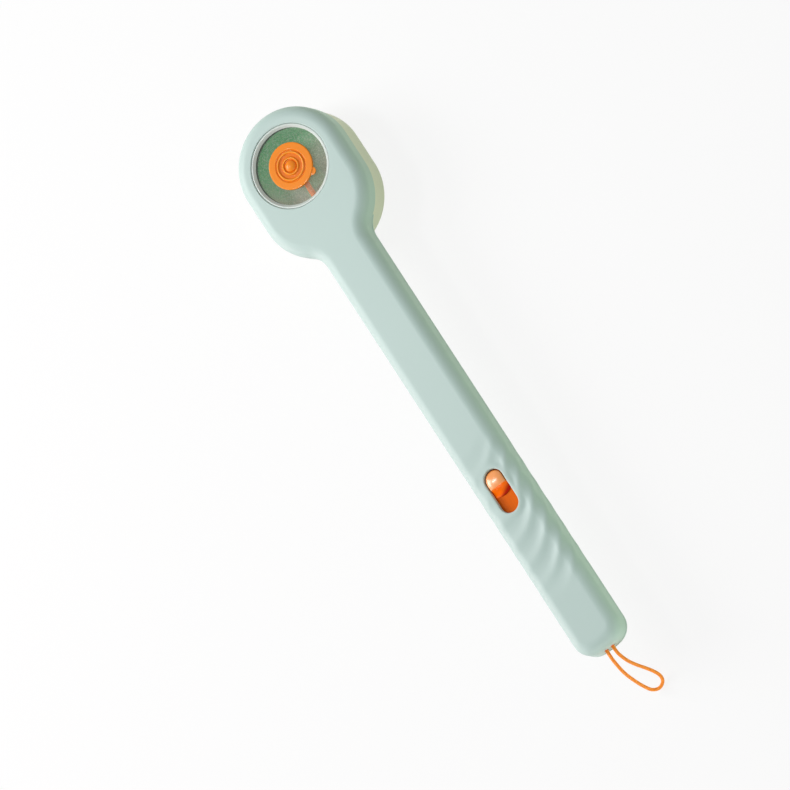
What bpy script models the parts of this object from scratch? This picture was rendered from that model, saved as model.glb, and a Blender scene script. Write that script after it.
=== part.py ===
"""Bath brush with a gel reservoir in its head and a thumb slider in its handle.

Metres, +Z up, +X from the head towards the tail. The flat back face looks up, the
bristle tips stand on Z = 0, and the origin is below the middle of the outline.
"""

import math

import bmesh
import bpy
from mathutils import Matrix, Vector
from mathutils.geometry import delaunay_2d_cdt

MM = 0.001
GAP = 0.3 * MM  # clearance between neighbouring pieces

# Outline of the brush seen from above
TOTAL_LENGTH = 365.0 * MM
HEAD_RADIUS = 33.5 * MM
HEAD_STRETCH = 21.5 * MM  # between the head's two arc centres
NECK_RADIUS = 14.0 * MM
HANDLE_HALF_WIDTH = 15.4 * MM
TAIL_CORNER_RADIUS = 11.0 * MM
TAIL_END_RADIUS = 45.0 * MM

# Depths below the back face
HANDLE_DEPTH = 18.6 * MM
SPLIT_DEPTH = 13.5 * MM
HEAD_DEPTH = 31.0 * MM
BRISTLE_REACH = 11.0 * MM  # bristle tips beyond the head's rim

# Shell moulding
WALL = 2.4 * MM
FACE_THICKNESS = 2.6 * MM
TOP_EDGE_RADIUS = 6.5 * MM
LOWER_EDGE_RADIUS = 4.6 * MM
TONGUE_WALL = 1.3 * MM
TONGUE_HEIGHT = 1.8 * MM
RIB_COUNT = 3
RIB_THICKNESS = 1.6 * MM

# Waved grip
WAVE_PITCH = 14.5 * MM
WAVE_DEPTH = 0.5 * MM
WAVE_SIDE_SHARE = 0.25
WAVE_NEAR_SHARE = 0.35  # of the full depth along the face's -Y edge
WAVE_SLANT = 0.4
WAVE_CURL = 30.0  # per metre
GRIP_LEAD = 36.0 * MM  # grip start ahead of the slot's centre
GRIP_TAIL_MARGIN = 36.0 * MM
GRIP_STEP = 3.0 * MM
GRIP_COLUMNS = 6

# Window, lens and filler plug
OPENING_RADIUS = 23.8 * MM
OPENING_CHAMFER = 0.6 * MM
CLEAR_RADIUS = 21.4 * MM
BEZEL_DEPTH = 1.2 * MM
BEZEL_THICKNESS = 0.9 * MM
BEZEL_CHAMFER = 0.9 * MM
LENS_THICKNESS = 1.5 * MM
SEAL_THICKNESS = 0.6 * MM
FILLER_RADIUS = 9.0 * MM
PLUG_RADIUS = 13.3 * MM
PLUG_THICKNESS = 1.2 * MM
PLUG_NECK = 3.1 * MM
PLUG_DISH_RADIUS = 8.4 * MM
PLUG_DISH_DEPTH = 0.45 * MM
PLUG_DISH_SLOPE = 0.5 * MM
PLUG_RINGS = (4.6 * MM, 6.8 * MM)
PLUG_RING_HEIGHT = 0.9 * MM  # over the dish
PLUG_RING_HALF = 0.75 * MM
PLUG_DOME_RADIUS = 3.3 * MM
PLUG_DOME_HEIGHT = 1.6 * MM  # over the dish
PLUG_DOME_STEPS = 4
TAB_RADIUS = 2.4 * MM
TAB_THICKNESS = 0.6 * MM
TAB_DISTANCE = 13.0 * MM
TAB_ANGLE = 41.5

# Reservoir cup and valve
CUP_DEPTH = 23.0 * MM  # back face to the cup's inner floor
CUP_WALL = 2.0 * MM
CUP_FLOOR = 1.8 * MM
CUP_RIM_WALL = 2.1 * MM
OUTLET_OFFSET = 7.0 * MM  # window axis to outlet
OUTLET_RADIUS = 1.6 * MM
SPOUT_WALL = 1.8 * MM
ROD_RADIUS = 1.6 * MM
ROD_DEPTH = 8.2 * MM
ROD_COLLAR_RADIUS = 2.8 * MM
ROD_COLLAR_LENGTH = 1.3 * MM
EYE_WALL = 1.5 * MM
POST_RADIUS = 1.8 * MM
GATE_HALF = 4.5 * MM
GATE_THICKNESS = 1.5 * MM
GUIDE_WALL = 1.8 * MM
VALVE_SEAL_WIDTH = 1.2 * MM
VALVE_SEAL_THICKNESS = 0.5 * MM
SPIGOT_LENGTH = 6.6 * MM
SPIGOT_RADIUS = 4.0 * MM
GLAND_WALL = 0.4 * MM
GLAND_FLANGE = 1.2 * MM

# Bristle base, pad and nozzle
BASE_STEP = 0.3 * MM  # the head overhangs the base by this much all round
BASE_DRAFT = 0.8 * MM  # the base narrows by this much from top to rim
BASE_SHORTER = 2.0 * MM  # base stretch short of the head's
BASE_RIM_RADIUS = 1.2 * MM
BASE_FLOOR = 2.0 * MM
PAD_THICKNESS = 2.0 * MM
RETAINER_WIDTH = 2.5 * MM
RETAINER_THICKNESS = 1.2 * MM
OUTLET_SEAL_WIDTH = 1.6 * MM
OUTLET_SEAL_THICKNESS = 0.7 * MM
NOZZLE_RADIUS = 4.2 * MM
NOZZLE_LIP = 1.2 * MM
NOZZLE_REACH = 8.0 * MM
BRISTLE_PITCH = 3.2 * MM
BRISTLE_ROOT_RADIUS = 0.8 * MM
BRISTLE_TIP_RADIUS = 0.5 * MM
BRISTLE_SIDES = 3

# Slider in the handle
SLOT_FROM_TAIL = 107.2 * MM
SLOT_LENGTH = 27.5 * MM
SLOT_HALF_WIDTH = 5.85 * MM
SLOT_CHAMFER = 0.7 * MM
SLOT_RIM = 1.2 * MM  # flat land round the slot
SLOT_BLEND = 2.6 * MM  # from the land to the full waves
SLIDER_TRAVEL = 8.2 * MM
BUTTON_CLEARANCE = 0.4 * MM
BUTTON_PROUD = 0.8 * MM
BUTTON_LENGTH = 15.6 * MM
BUTTON_RIDGE = 10.1 * MM  # head end of the button to the ridge over its slope
BUTTON_HEAD_DROP = 1.3 * MM
BUTTON_RIDGE_DROP = 0.2 * MM
BUTTON_CROWN = 0.8 * MM
BUTTON_LIP = 0.2 * MM
BUTTON_TAIL_RADIUS = 10.0 * MM
CARRIAGE_DEPTH = 3.4 * MM
CARRIAGE_THICKNESS = 1.6 * MM
CARRIAGE_COVER = 1.2 * MM
STEM_LENGTH = 9.0 * MM
STEM_HALF_WIDTH = 3.0 * MM
STEM_DEPTH = 11.0 * MM
CHANNEL_WALL = 1.3 * MM
CHANNEL_MARGIN = 4.0 * MM
CHANNEL_FLOOR_DEPTH = 12.4 * MM
CHANNEL_FLOOR = 1.0 * MM
LEDGE_INNER = 4.4 * MM
LEDGE_THICKNESS = 1.2 * MM
SCREW_BAY = 4.8 * MM  # room for the screws between channel and shell
BOSS_RADIUS = 1.9 * MM
EAR_LENGTH = 7.0 * MM
EAR_DEPTH = 6.6 * MM
EAR_THICKNESS = 1.4 * MM
EAR_INSET = 5.0 * MM
SCREW_RADIUS = 0.8 * MM
SCREW_LENGTH = 4.0 * MM
SCREW_HEAD_RADIUS = 1.7 * MM
SCREW_HEAD_HEIGHT = 1.1 * MM
SPRING_WIDTH = 5.0 * MM
SPRING_THICKNESS = 0.4 * MM
SPRING_LENGTH = 24.0 * MM
SPRING_BUMP = 0.5 * MM

# Hanging cord
CORD_RADIUS = 1.0 * MM
CORD_HALF_SPACING = 2.2 * MM
CORD_DEPTH = 9.6 * MM
ANCHOR_RADIUS = 2.4 * MM
ANCHOR_LENGTH = 9.0 * MM
CORD_SEGMENTS = 3  # points along each stretch between route points

# Route of the cord's centre: along X from the tail end, Y and Z, in millimetres
CORD_ROUTE = (
    (0.3, -2.2, 32.4),
    (4.0, -2.3, 32.1),
    (7.8, -2.6, 30.3),
    (14.0, -2.8, 26.0),
    (18.7, -2.7, 19.0),
    (22.4, -2.4, 11.0),
    (24.9, -1.4, 4.6),
    (25.7, 1.8, 1.5),
    (23.8, 5.3, 1.4),
    (20.9, 6.5, 3.4),
    (17.9, 6.0, 8.0),
    (15.3, 4.9, 14.0),
    (12.8, 3.7, 20.8),
    (9.8, 2.8, 26.8),
    (6.0, 2.3, 30.9),
    (3.0, 2.2, 32.2),
    (0.3, 2.2, 32.4),
)

FACE_Z = HEAD_DEPTH + BRISTLE_REACH
BASE_TOP_HALF = HEAD_RADIUS - BASE_STEP
BASE_RIM_HALF = BASE_TOP_HALF - BASE_DRAFT
BASE_STRETCH = HEAD_STRETCH - BASE_SHORTER
FAR_X = HEAD_RADIUS - TOTAL_LENGTH / 2
NEAR_X = FAR_X + HEAD_STRETCH
TAIL_X = TOTAL_LENGTH / 2
SPLIT_Z = FACE_Z - SPLIT_DEPTH
UNDER_Z = FACE_Z - HANDLE_DEPTH
NECK_REACH = math.sqrt(
    (HEAD_RADIUS + NECK_RADIUS) ** 2 - (HANDLE_HALF_WIDTH + NECK_RADIUS) ** 2
)
NECK_X = NEAR_X + NECK_REACH
SLOT_X = TAIL_X - SLOT_FROM_TAIL
GRIP_START = SLOT_X - GRIP_LEAD
GRIP_END = TAIL_X - GRIP_TAIL_MARGIN
OUTLET_X = FAR_X + OUTLET_OFFSET
LENS_TOP = BEZEL_DEPTH + BEZEL_THICKNESS + GAP
LENS_BOTTOM = LENS_TOP + LENS_THICKNESS
LEDGE_DEPTH = LENS_BOTTOM + SEAL_THICKNESS + 2 * GAP
LENS_RADIUS = OPENING_RADIUS - 2 * GAP
REBATE_RADIUS = OPENING_RADIUS - GAP
CUP_BOTTOM = CUP_DEPTH + CUP_FLOOR
FLOOR_DEPTH = CUP_BOTTOM + GAP
PAD_DEPTH = FLOOR_DEPTH + BASE_FLOOR + GAP
GATE_BOTTOM = CUP_DEPTH - GAP
GATE_TOP = GATE_BOTTOM - GATE_THICKNESS
SPOUT_RADIUS = OUTLET_RADIUS + SPOUT_WALL
EYE_RADIUS = POST_RADIUS + GAP
BUTTON_START = SLOT_X - SLOT_LENGTH / 2 + BUTTON_CLEARANCE
BUTTON_HALF_WIDTH = SLOT_HALF_WIDTH - GAP
CARRIAGE_START = SLOT_X - SLOT_LENGTH / 2 - SLIDER_TRAVEL - CARRIAGE_COVER
CARRIAGE_END = SLOT_X + SLOT_LENGTH / 2 + CARRIAGE_COVER
STEM_START = SLOT_X - (SLIDER_TRAVEL + STEM_LENGTH) / 2
CHANNEL_START = CARRIAGE_START - CHANNEL_MARGIN
CHANNEL_END = CARRIAGE_END + SLIDER_TRAVEL + CHANNEL_MARGIN
CHANNEL_OUTER = HANDLE_HALF_WIDTH - WALL - SCREW_BAY
CHANNEL_INNER = CHANNEL_OUTER - CHANNEL_WALL
CARRIAGE_HALF_WIDTH = CHANNEL_INNER - GAP
BOSS_Y = CHANNEL_OUTER + SCREW_BAY / 2
SPIGOT_END = FAR_X + CLEAR_RADIUS + CUP_WALL + SPIGOT_LENGTH


def below(depth):
    """Height of a level that lies this far under the back face."""
    return FACE_Z - depth


def smooth_step(value, low, high):
    t = min(max((value - low) / (high - low), 0.0), 1.0)
    return t * t * (3.0 - 2.0 * t)


# Materials


def material(name, color, roughness, alpha=1.0):
    result = bpy.data.materials.new(name)
    result.use_nodes = True
    shader = result.node_tree.nodes["Principled BSDF"]
    shader.inputs["Base Color"].default_value = (*color, 1.0)
    shader.inputs["Roughness"].default_value = roughness
    shader.inputs["Metallic"].default_value = 0.0
    shader.inputs["Alpha"].default_value = alpha
    result.diffuse_color = (*color, alpha)
    return result


# Meshes


def make_object(name, mesh_maker, finish):
    """Object from a bmesh, with its faces turned outwards and its round faces smooth."""
    bmesh.ops.remove_doubles(mesh_maker, verts=mesh_maker.verts, dist=1e-7)
    bmesh.ops.recalc_face_normals(mesh_maker, faces=mesh_maker.faces)
    mesh = bpy.data.meshes.new(name)
    mesh_maker.to_mesh(mesh)
    mesh_maker.free()
    mesh.shade_smooth()
    mesh.set_sharp_from_angle(angle=math.radians(35))
    result = bpy.data.objects.new(name, mesh)
    bpy.context.scene.collection.objects.link(result)
    if finish is not None:
        mesh.materials.append(finish)
    return result


def loft(rings, closed_profile=False):
    """Skin through rings of points; the end rings are capped unless the profile closes."""
    maker = bmesh.new()
    rows = [[maker.verts.new(point) for point in ring] for ring in rings]
    pairs = list(zip(rows, rows[1:]))
    if closed_profile:
        pairs.append((rows[-1], rows[0]))
    count = len(rows[0])
    for upper, lower in pairs:
        for k in range(count):
            n = (k + 1) % count
            maker.faces.new((upper[k], upper[n], lower[n], lower[k]))
    if not closed_profile:
        maker.faces.new(rows[0])
        maker.faces.new(list(reversed(rows[-1])))
    return maker


def turned(profile, center, segments, axis="Z"):
    """Revolve (radius, position) pairs; pairs on the axis at both ends close as flat caps."""
    on_axis = profile[0][0] == 0.0 and profile[-1][0] == 0.0
    pairs = profile[1:-1] if on_axis else profile
    rings = []
    for radius, place in pairs:
        ring = []
        for k in range(segments):
            a = 2 * math.pi * (k + 0.5) / segments
            c, s = radius * math.cos(a), radius * math.sin(a)
            if axis == "Z":
                ring.append((center[0] + c, center[1] + s, place))
            else:
                ring.append((place, center[0] + c, center[1] + s))
        rings.append(ring)
    return loft(rings, closed_profile=not on_axis)


def box(low, high):
    rings = []
    for z in (high[2], low[2]):
        rings.append(
            [
                (low[0], low[1], z),
                (high[0], low[1], z),
                (high[0], high[1], z),
                (low[0], high[1], z),
            ]
        )
    return loft(rings)


def extrude_section(section, start, end):
    """Prism along X from a (y, z) outline."""
    return loft([[(x, y, z) for y, z in section] for x in (start, end)])


def merged(*makers):
    """One bmesh from several that don't touch."""
    result = bmesh.new()
    for maker in makers:
        mesh = bpy.data.meshes.new("merge")
        maker.to_mesh(mesh)
        maker.free()
        result.from_mesh(mesh)
        bpy.data.meshes.remove(mesh)
    return result


def boolean(target, name, maker, operation):
    """Cut or join a helper solid; the helper itself stays out of the part."""
    tool = make_object(name, maker, None)
    tool.hide_render = True
    tool.display_type = "WIRE"
    modifier = target.modifiers.new(name, "BOOLEAN")
    modifier.operation = operation
    modifier.solver = "EXACT"
    modifier.object = tool
    return target


def cut(target, name, maker):
    return boolean(target, name, maker, "DIFFERENCE")


def join(target, name, maker):
    return boolean(target, name, maker, "UNION")


# Plan outlines: each point is (x, y, normal x, normal y)


def arc(cx, cy, radius, start, end, steps, inward=False):
    points = []
    sign = -1.0 if inward else 1.0
    for k in range(steps + 1):
        a = math.radians(start + (end - start) * k / steps)
        c, s = math.cos(a), math.sin(a)
        points.append((cx + radius * c, cy + radius * s, sign * c, sign * s))
    return points


def mirrored(half):
    return half + [(x, -y, nx, -ny) for x, y, nx, ny in reversed(half[1:-1])]


def brush_half_plan(stations, steps):
    """Far end to tail end along +Y: head arcs, neck fillet, handle side, tail corner."""
    turn = math.degrees(math.atan2(HANDLE_HALF_WIDTH + NECK_RADIUS, NECK_REACH))
    corner_y = HANDLE_HALF_WIDTH - TAIL_CORNER_RADIUS
    end_x = TAIL_X - TAIL_END_RADIUS
    corner_reach = math.sqrt(
        (TAIL_END_RADIUS - TAIL_CORNER_RADIUS) ** 2 - corner_y**2
    )
    bend = math.degrees(math.atan2(corner_y, corner_reach))
    half = arc(FAR_X, 0, HEAD_RADIUS, 180, 90, steps)
    half += arc(NEAR_X, 0, HEAD_RADIUS, 90, turn, steps * 2 // 3)
    neck_y = HANDLE_HALF_WIDTH + NECK_RADIUS
    half += arc(NECK_X, neck_y, NECK_RADIUS, 180 + turn, 270, steps // 2, True)[1:]
    half += [(x, HANDLE_HALF_WIDTH, 0.0, 1.0) for x in stations]
    half += arc(end_x + corner_reach, corner_y, TAIL_CORNER_RADIUS, 90, bend, steps // 2)
    half += arc(end_x, 0, TAIL_END_RADIUS, bend, 0, 2)[1:]
    return half


def stadium(half_width, start, stretch, steps):
    """Oblong with round ends, as a full plan outline."""
    half = arc(start, 0, half_width, 180, 90, steps)
    half += arc(start + stretch, 0, half_width, 90, 0, steps)
    return mirrored(half)


def ring(plan, inset, z):
    return [(x - nx * inset, y - ny * inset, z) for x, y, nx, ny in plan]


def prism(plan, low, high, inset=0.0):
    return loft([ring(plan, inset, high), ring(plan, inset, low)])


# Waved grip


def wave_push(x, y, girth):
    """How far the grip's surface dips at x, measured girth along the section."""
    span = smooth_step(x, GRIP_START, GRIP_START + 2 * WAVE_PITCH)
    span *= 1.0 - smooth_step(x, GRIP_END - 1.5 * WAVE_PITCH, GRIP_END)
    straight = SLOT_LENGTH / 2 - SLOT_HALF_WIDTH
    away = math.hypot(max(abs(x - SLOT_X) - straight, 0.0), y) - SLOT_HALF_WIDTH
    span *= smooth_step(away, SLOT_RIM, SLOT_RIM + SLOT_BLEND)
    curl = max(girth + 2.0 * MM, 0.0)
    shift = -WAVE_SLANT * girth - WAVE_CURL * curl * curl
    crest = 0.5 + 0.5 * math.cos(2 * math.pi * (x - shift) / WAVE_PITCH)
    flat = HANDLE_HALF_WIDTH - TOP_EDGE_RADIUS
    side = smooth_step(abs(girth), flat, HANDLE_HALF_WIDTH + SPLIT_DEPTH / 2)
    across = WAVE_NEAR_SHARE + (1.0 - WAVE_NEAR_SHARE) * smooth_step(girth, -flat, flat)
    depth = WAVE_DEPTH * across * (1.0 + (WAVE_SIDE_SHARE - 1.0) * side)
    return depth * span * (1.0 - crest**1.5)


def edge_levels(radius, steps, side_depths):
    """(inset, depth, normal angle, girth) from the flat face over the edge and down."""
    flat = HANDLE_HALF_WIDTH - radius
    levels = []
    for k in range(steps + 1):
        a = math.pi / 2 * k / steps
        levels.append((radius * (1 - math.sin(a)), radius * (1 - math.cos(a)), a, flat + radius * a))
    side_girth = flat + radius * math.pi / 2 - radius
    for depth in side_depths:
        levels.append((0.0, depth, math.pi / 2, side_girth + depth))
    return levels


def grip_stations():
    count = round((GRIP_END - GRIP_START) / GRIP_STEP)
    return [GRIP_START + (GRIP_END - GRIP_START) * k / count for k in range(count + 1)]


def waved_ring(plan, inset, depth, angle, girth, fade=1.0):
    """Ring of the handle's outer surface with the grip's waves pressed in."""
    result = []
    for x, y, nx, ny in plan:
        px, py, pz = x - nx * inset, y - ny * inset, below(depth)
        if GRIP_START < x < GRIP_END:
            push = fade * wave_push(x, py, math.copysign(girth, y))
            py -= math.copysign(push * math.sin(angle), y)
            pz -= push * math.cos(angle)
        result.append((px, py, pz))
    return result


def shell_with_face_rows(rings, first, last, columns):
    """Loft whose top face is split into rows of quads between two stations."""
    maker = bmesh.new()
    rows = [[maker.verts.new(point) for point in points] for points in rings]
    count = len(rows[0])
    for upper, lower in zip(rows, rows[1:]):
        for k in range(count):
            n = (k + 1) % count
            maker.faces.new((upper[k], upper[n], lower[n], lower[k]))
    top = rows[0]
    lines = []
    for k in range(first, last + 1):
        left, right = top[k], top[(count - k) % count]
        line = [left]
        for c in range(1, columns):
            y = left.co.y + (right.co.y - left.co.y) * c / columns
            x = left.co.x
            line.append(maker.verts.new((x, y, FACE_Z - wave_push(x, y, y))))
        line.append(right)
        lines.append(line)
    for near, far in zip(lines, lines[1:]):
        for c in range(columns):
            maker.faces.new((near[c], near[c + 1], far[c + 1], far[c]))
    maker.faces.new(lines[0] + [top[k % count] for k in range(count - first + 1, count + first)])
    maker.faces.new(list(reversed(lines[-1])) + top[last + 1 : count - last])
    maker.faces.new(rows[-1])
    return maker


# Shells


def back_shell(finish):
    stations = grip_stations()
    half = brush_half_plan(stations, 10)
    plan = mirrored(half)
    side_depths = (TOP_EDGE_RADIUS + (SPLIT_DEPTH - TOP_EDGE_RADIUS) / 2, SPLIT_DEPTH)
    rings = [waved_ring(plan, *level) for level in edge_levels(TOP_EDGE_RADIUS, 4, side_depths)]
    first = next(k for k, point in enumerate(half) if point[0] == stations[0])
    shell = make_object(
        "back_shell",
        shell_with_face_rows(rings, first, first + len(stations) - 1, GRIP_COLUMNS),
        finish,
    )
    inner_plan = mirrored(brush_half_plan([], 6))
    inner_radius = TOP_EDGE_RADIUS - WALL
    hollow = []
    for inset, depth, _, _ in edge_levels(inner_radius, 2, ()):
        hollow.append(ring(inner_plan, WALL + inset, below(FACE_THICKNESS + depth)))
    hollow.append(ring(inner_plan, WALL, SPLIT_Z - WALL))
    cut(shell, "cut_back_hollow", loft(hollow))
    join(shell, "join_rod_ribs", merged(*[rod_rib(x) for x in rib_places()]))
    join(shell, "join_guide_bosses", merged(*[guide_boss(x, y) for x, y in boss_places()]))
    cut(shell, "cut_window", window_cutter())
    cut(shell, "cut_slot", slot_cutter())
    rod = [(0.0, rib_places()[0] - WALL), (ROD_RADIUS + 2 * GAP, rib_places()[0] - WALL)]
    rod += [(ROD_RADIUS + 2 * GAP, rib_places()[-1] + WALL), (0.0, rib_places()[-1] + WALL)]
    cut(shell, "cut_rod_holes", turned(rod, (0, below(ROD_DEPTH)), 12, "X"))
    holes = [screw_hole(x, y, BOSS_RADIUS * 2) for x, y in boss_places()]
    cut(shell, "cut_boss_holes", merged(*holes))
    cut(shell, "cut_cord_holes", merged(*[cord_hole(side) for side in (-1, 1)]))
    return shell


def rib_places():
    """Ribs spaced evenly along the hollow handle, from the neck to the slider."""
    start = NECK_X + 4 * WALL
    end = CHANNEL_START - 4 * WALL
    return [start + (end - start) * k / (RIB_COUNT - 1) for k in range(RIB_COUNT)]


def rod_rib(x):
    """Cross rib that steadies the rod, rooted half a wall deep in the shell."""
    radius = TOP_EDGE_RADIUS - WALL / 2
    side = HANDLE_HALF_WIDTH - WALL / 2
    section = []
    for k in range(3):
        a = math.pi / 2 * k / 2
        section.append((side - radius * (1 - math.sin(a)), below(TOP_EDGE_RADIUS - radius * math.cos(a))))
    section.append((side, SPLIT_Z + TONGUE_HEIGHT + 2 * GAP))
    section += [(-y, z) for y, z in reversed(section)]
    return extrude_section(section, x - RIB_THICKNESS / 2, x + RIB_THICKNESS / 2)


def boss_places():
    xs = (CHANNEL_START + EAR_INSET, CHANNEL_END - EAR_INSET)
    return [(x, y) for x in xs for y in (-BOSS_Y, BOSS_Y)]


def guide_boss(x, y):
    top = below(FACE_THICKNESS - WALL / 6)
    low = below(EAR_DEPTH - GAP)
    return turned([(0, top), (BOSS_RADIUS, top), (BOSS_RADIUS, low), (0, low)], (x, y), 12)


def screw_hole(x, y, depth):
    radius = SCREW_RADIUS + GAP
    top = below(EAR_DEPTH) + depth - GAP
    low = below(EAR_DEPTH + EAR_THICKNESS + GAP)
    return turned([(0, top), (radius, top), (radius, low), (0, low)], (x, y), 10)


def window_cutter():
    over = WALL
    profile = [
        (0, FACE_Z + over),
        (OPENING_RADIUS + OPENING_CHAMFER + over, FACE_Z + over),
        (OPENING_RADIUS, FACE_Z - OPENING_CHAMFER),
        (OPENING_RADIUS, below(FACE_THICKNESS + over)),
        (0, below(FACE_THICKNESS + over)),
    ]
    return turned(profile, (FAR_X, 0), 56)


def slot_cutter():
    over = WALL
    straight = SLOT_LENGTH - 2 * SLOT_HALF_WIDTH
    plan = stadium(SLOT_HALF_WIDTH, SLOT_X - straight / 2, straight, 8)
    rings = [
        ring(plan, -SLOT_CHAMFER - over, FACE_Z + over),
        ring(plan, 0.0, FACE_Z - SLOT_CHAMFER),
        ring(plan, 0.0, below(FACE_THICKNESS + over)),
    ]
    return loft(rings)


def cord_hole(side):
    radius = CORD_RADIUS + GAP
    start, end = TAIL_X - 2 * WALL, TAIL_X + WALL
    profile = [(0, start), (radius, start), (radius, end), (0, end)]
    return turned(profile, (side * CORD_HALF_SPACING, below(CORD_DEPTH)), 10, "X")


def front_shell(finish):
    """Underside cover of the handle, ending in an arc against the bristle base."""
    stations = grip_stations()
    plan = mirrored(brush_half_plan(stations, 10))
    girth = HANDLE_HALF_WIDTH + TOP_EDGE_RADIUS * (math.pi / 2 - 2) + SPLIT_DEPTH
    top = SPLIT_DEPTH + GAP
    rings = [ring(plan, WALL + GAP, below(top - TONGUE_HEIGHT)), ring(plan, WALL + GAP, below(top))]
    rings.append(waved_ring(plan, 0.0, top, math.pi / 2, girth))
    steps = 4
    for k in range(steps + 1):
        a = math.pi / 2 * k / steps
        inset = LOWER_EDGE_RADIUS * (1 - math.cos(a))
        depth = HANDLE_DEPTH - LOWER_EDGE_RADIUS * (1 - math.sin(a))
        fade = 1.0 - k / steps
        rings.append(waved_ring(plan, inset, depth, math.pi / 2 + a, girth + LOWER_EDGE_RADIUS * a, fade))
    shell = make_object("front_shell", loft(rings), finish)
    inner_plan = mirrored(brush_half_plan([], 6))
    inner_radius = LOWER_EDGE_RADIUS - WALL
    hollow = [
        ring(inner_plan, WALL + GAP + TONGUE_WALL, SPLIT_Z + 2 * TONGUE_HEIGHT),
        ring(inner_plan, WALL + GAP + TONGUE_WALL, below(HANDLE_DEPTH - WALL - inner_radius / 2)),
        ring(inner_plan, WALL + GAP + TONGUE_WALL + inner_radius, UNDER_Z + WALL),
    ]
    cut(shell, "cut_front_hollow", loft(hollow))
    head = stadium(BASE_TOP_HALF + GAP, FAR_X, BASE_STRETCH, 18)
    cut(shell, "cut_base_clearance", prism(head, 0.0, FACE_Z))
    turn = math.atan2(HANDLE_HALF_WIDTH + NECK_RADIUS, NECK_REACH)
    horn_x = NEAR_X + HEAD_RADIUS * math.cos(turn)
    low = (FAR_X - 2 * HEAD_RADIUS, -2 * HEAD_RADIUS, 0.0)
    cut(shell, "cut_head_end", box(low, (horn_x, 2 * HEAD_RADIUS, FACE_Z)))
    return shell


def brush_base(finish):
    """Cream lower moulding of the head: drafted wall, floor for the cup, recess below."""
    plan = stadium(BASE_TOP_HALF, FAR_X, BASE_STRETCH, 14)
    top = SPLIT_DEPTH + GAP
    tongue = BASE_TOP_HALF - (HEAD_RADIUS - WALL - GAP)
    rings = [
        ring(plan, tongue, below(top - TONGUE_HEIGHT)),
        ring(plan, tongue, below(top)),
        ring(plan, 0.0, below(top)),
        ring(plan, BASE_DRAFT * 0.9, below(HEAD_DEPTH - BASE_RIM_RADIUS)),
        ring(plan, BASE_DRAFT + BASE_RIM_RADIUS * 0.3, below(HEAD_DEPTH - BASE_RIM_RADIUS * 0.3)),
        ring(plan, BASE_DRAFT + BASE_RIM_RADIUS, below(HEAD_DEPTH)),
    ]
    base = make_object("brush_base", loft(rings), finish)
    shoulder = below(SPLIT_DEPTH + 2 * TONGUE_WALL)
    hollow = [
        ring(plan, tongue + TONGUE_WALL, SPLIT_Z + 2 * TONGUE_HEIGHT),
        ring(plan, tongue + TONGUE_WALL, shoulder),
        ring(plan, WALL + BASE_DRAFT * 0.2, shoulder - TONGUE_WALL),
        ring(plan, WALL + BASE_DRAFT * 0.6, below(FLOOR_DEPTH)),
    ]
    cut(base, "cut_base_hollow", loft(hollow))
    low, high = below(HEAD_DEPTH + WALL), below(FLOOR_DEPTH + BASE_FLOOR)
    cut(base, "cut_pad_recess", prism(plan, low, high, BASE_DRAFT + WALL))
    hole = SPOUT_RADIUS + GAP
    seat = hole + OUTLET_SEAL_WIDTH + 2 * GAP
    seat_z = below(FLOOR_DEPTH + OUTLET_SEAL_THICKNESS + GAP)
    profile = [(0, below(FLOOR_DEPTH) + WALL), (seat, below(FLOOR_DEPTH) + WALL), (seat, seat_z)]
    profile += [(hole, seat_z), (hole, below(PAD_DEPTH + WALL)), (0, below(PAD_DEPTH + WALL))]
    return cut(base, "cut_spout_hole", turned(profile, (OUTLET_X, 0), 24))


# Bristles


def bristle_places():
    """Staggered rows inside the retainer, clear of the nozzle."""
    field = BASE_RIM_HALF - WALL - GAP - RETAINER_WIDTH - BRISTLE_ROOT_RADIUS - 2 * GAP
    clear = NOZZLE_RADIUS + NOZZLE_LIP + BRISTLE_ROOT_RADIUS + 2 * GAP
    middle = FAR_X + BASE_STRETCH / 2
    row_step = BRISTLE_PITCH * math.sqrt(3) / 2
    rows = int(field / row_step)
    columns = int((field + BASE_STRETCH / 2) / BRISTLE_PITCH) + 1
    places = []
    for row in range(-rows, rows + 1):
        for column in range(-columns, columns + 1):
            x = middle + (column + 0.5 * (row % 2)) * BRISTLE_PITCH
            y = row * row_step
            beyond = max(abs(x - middle) - BASE_STRETCH / 2, 0.0)
            if math.hypot(beyond, y) > field:
                continue
            if math.hypot(x - OUTLET_X, y) > clear:
                places.append((x, y))
    return places


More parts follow.
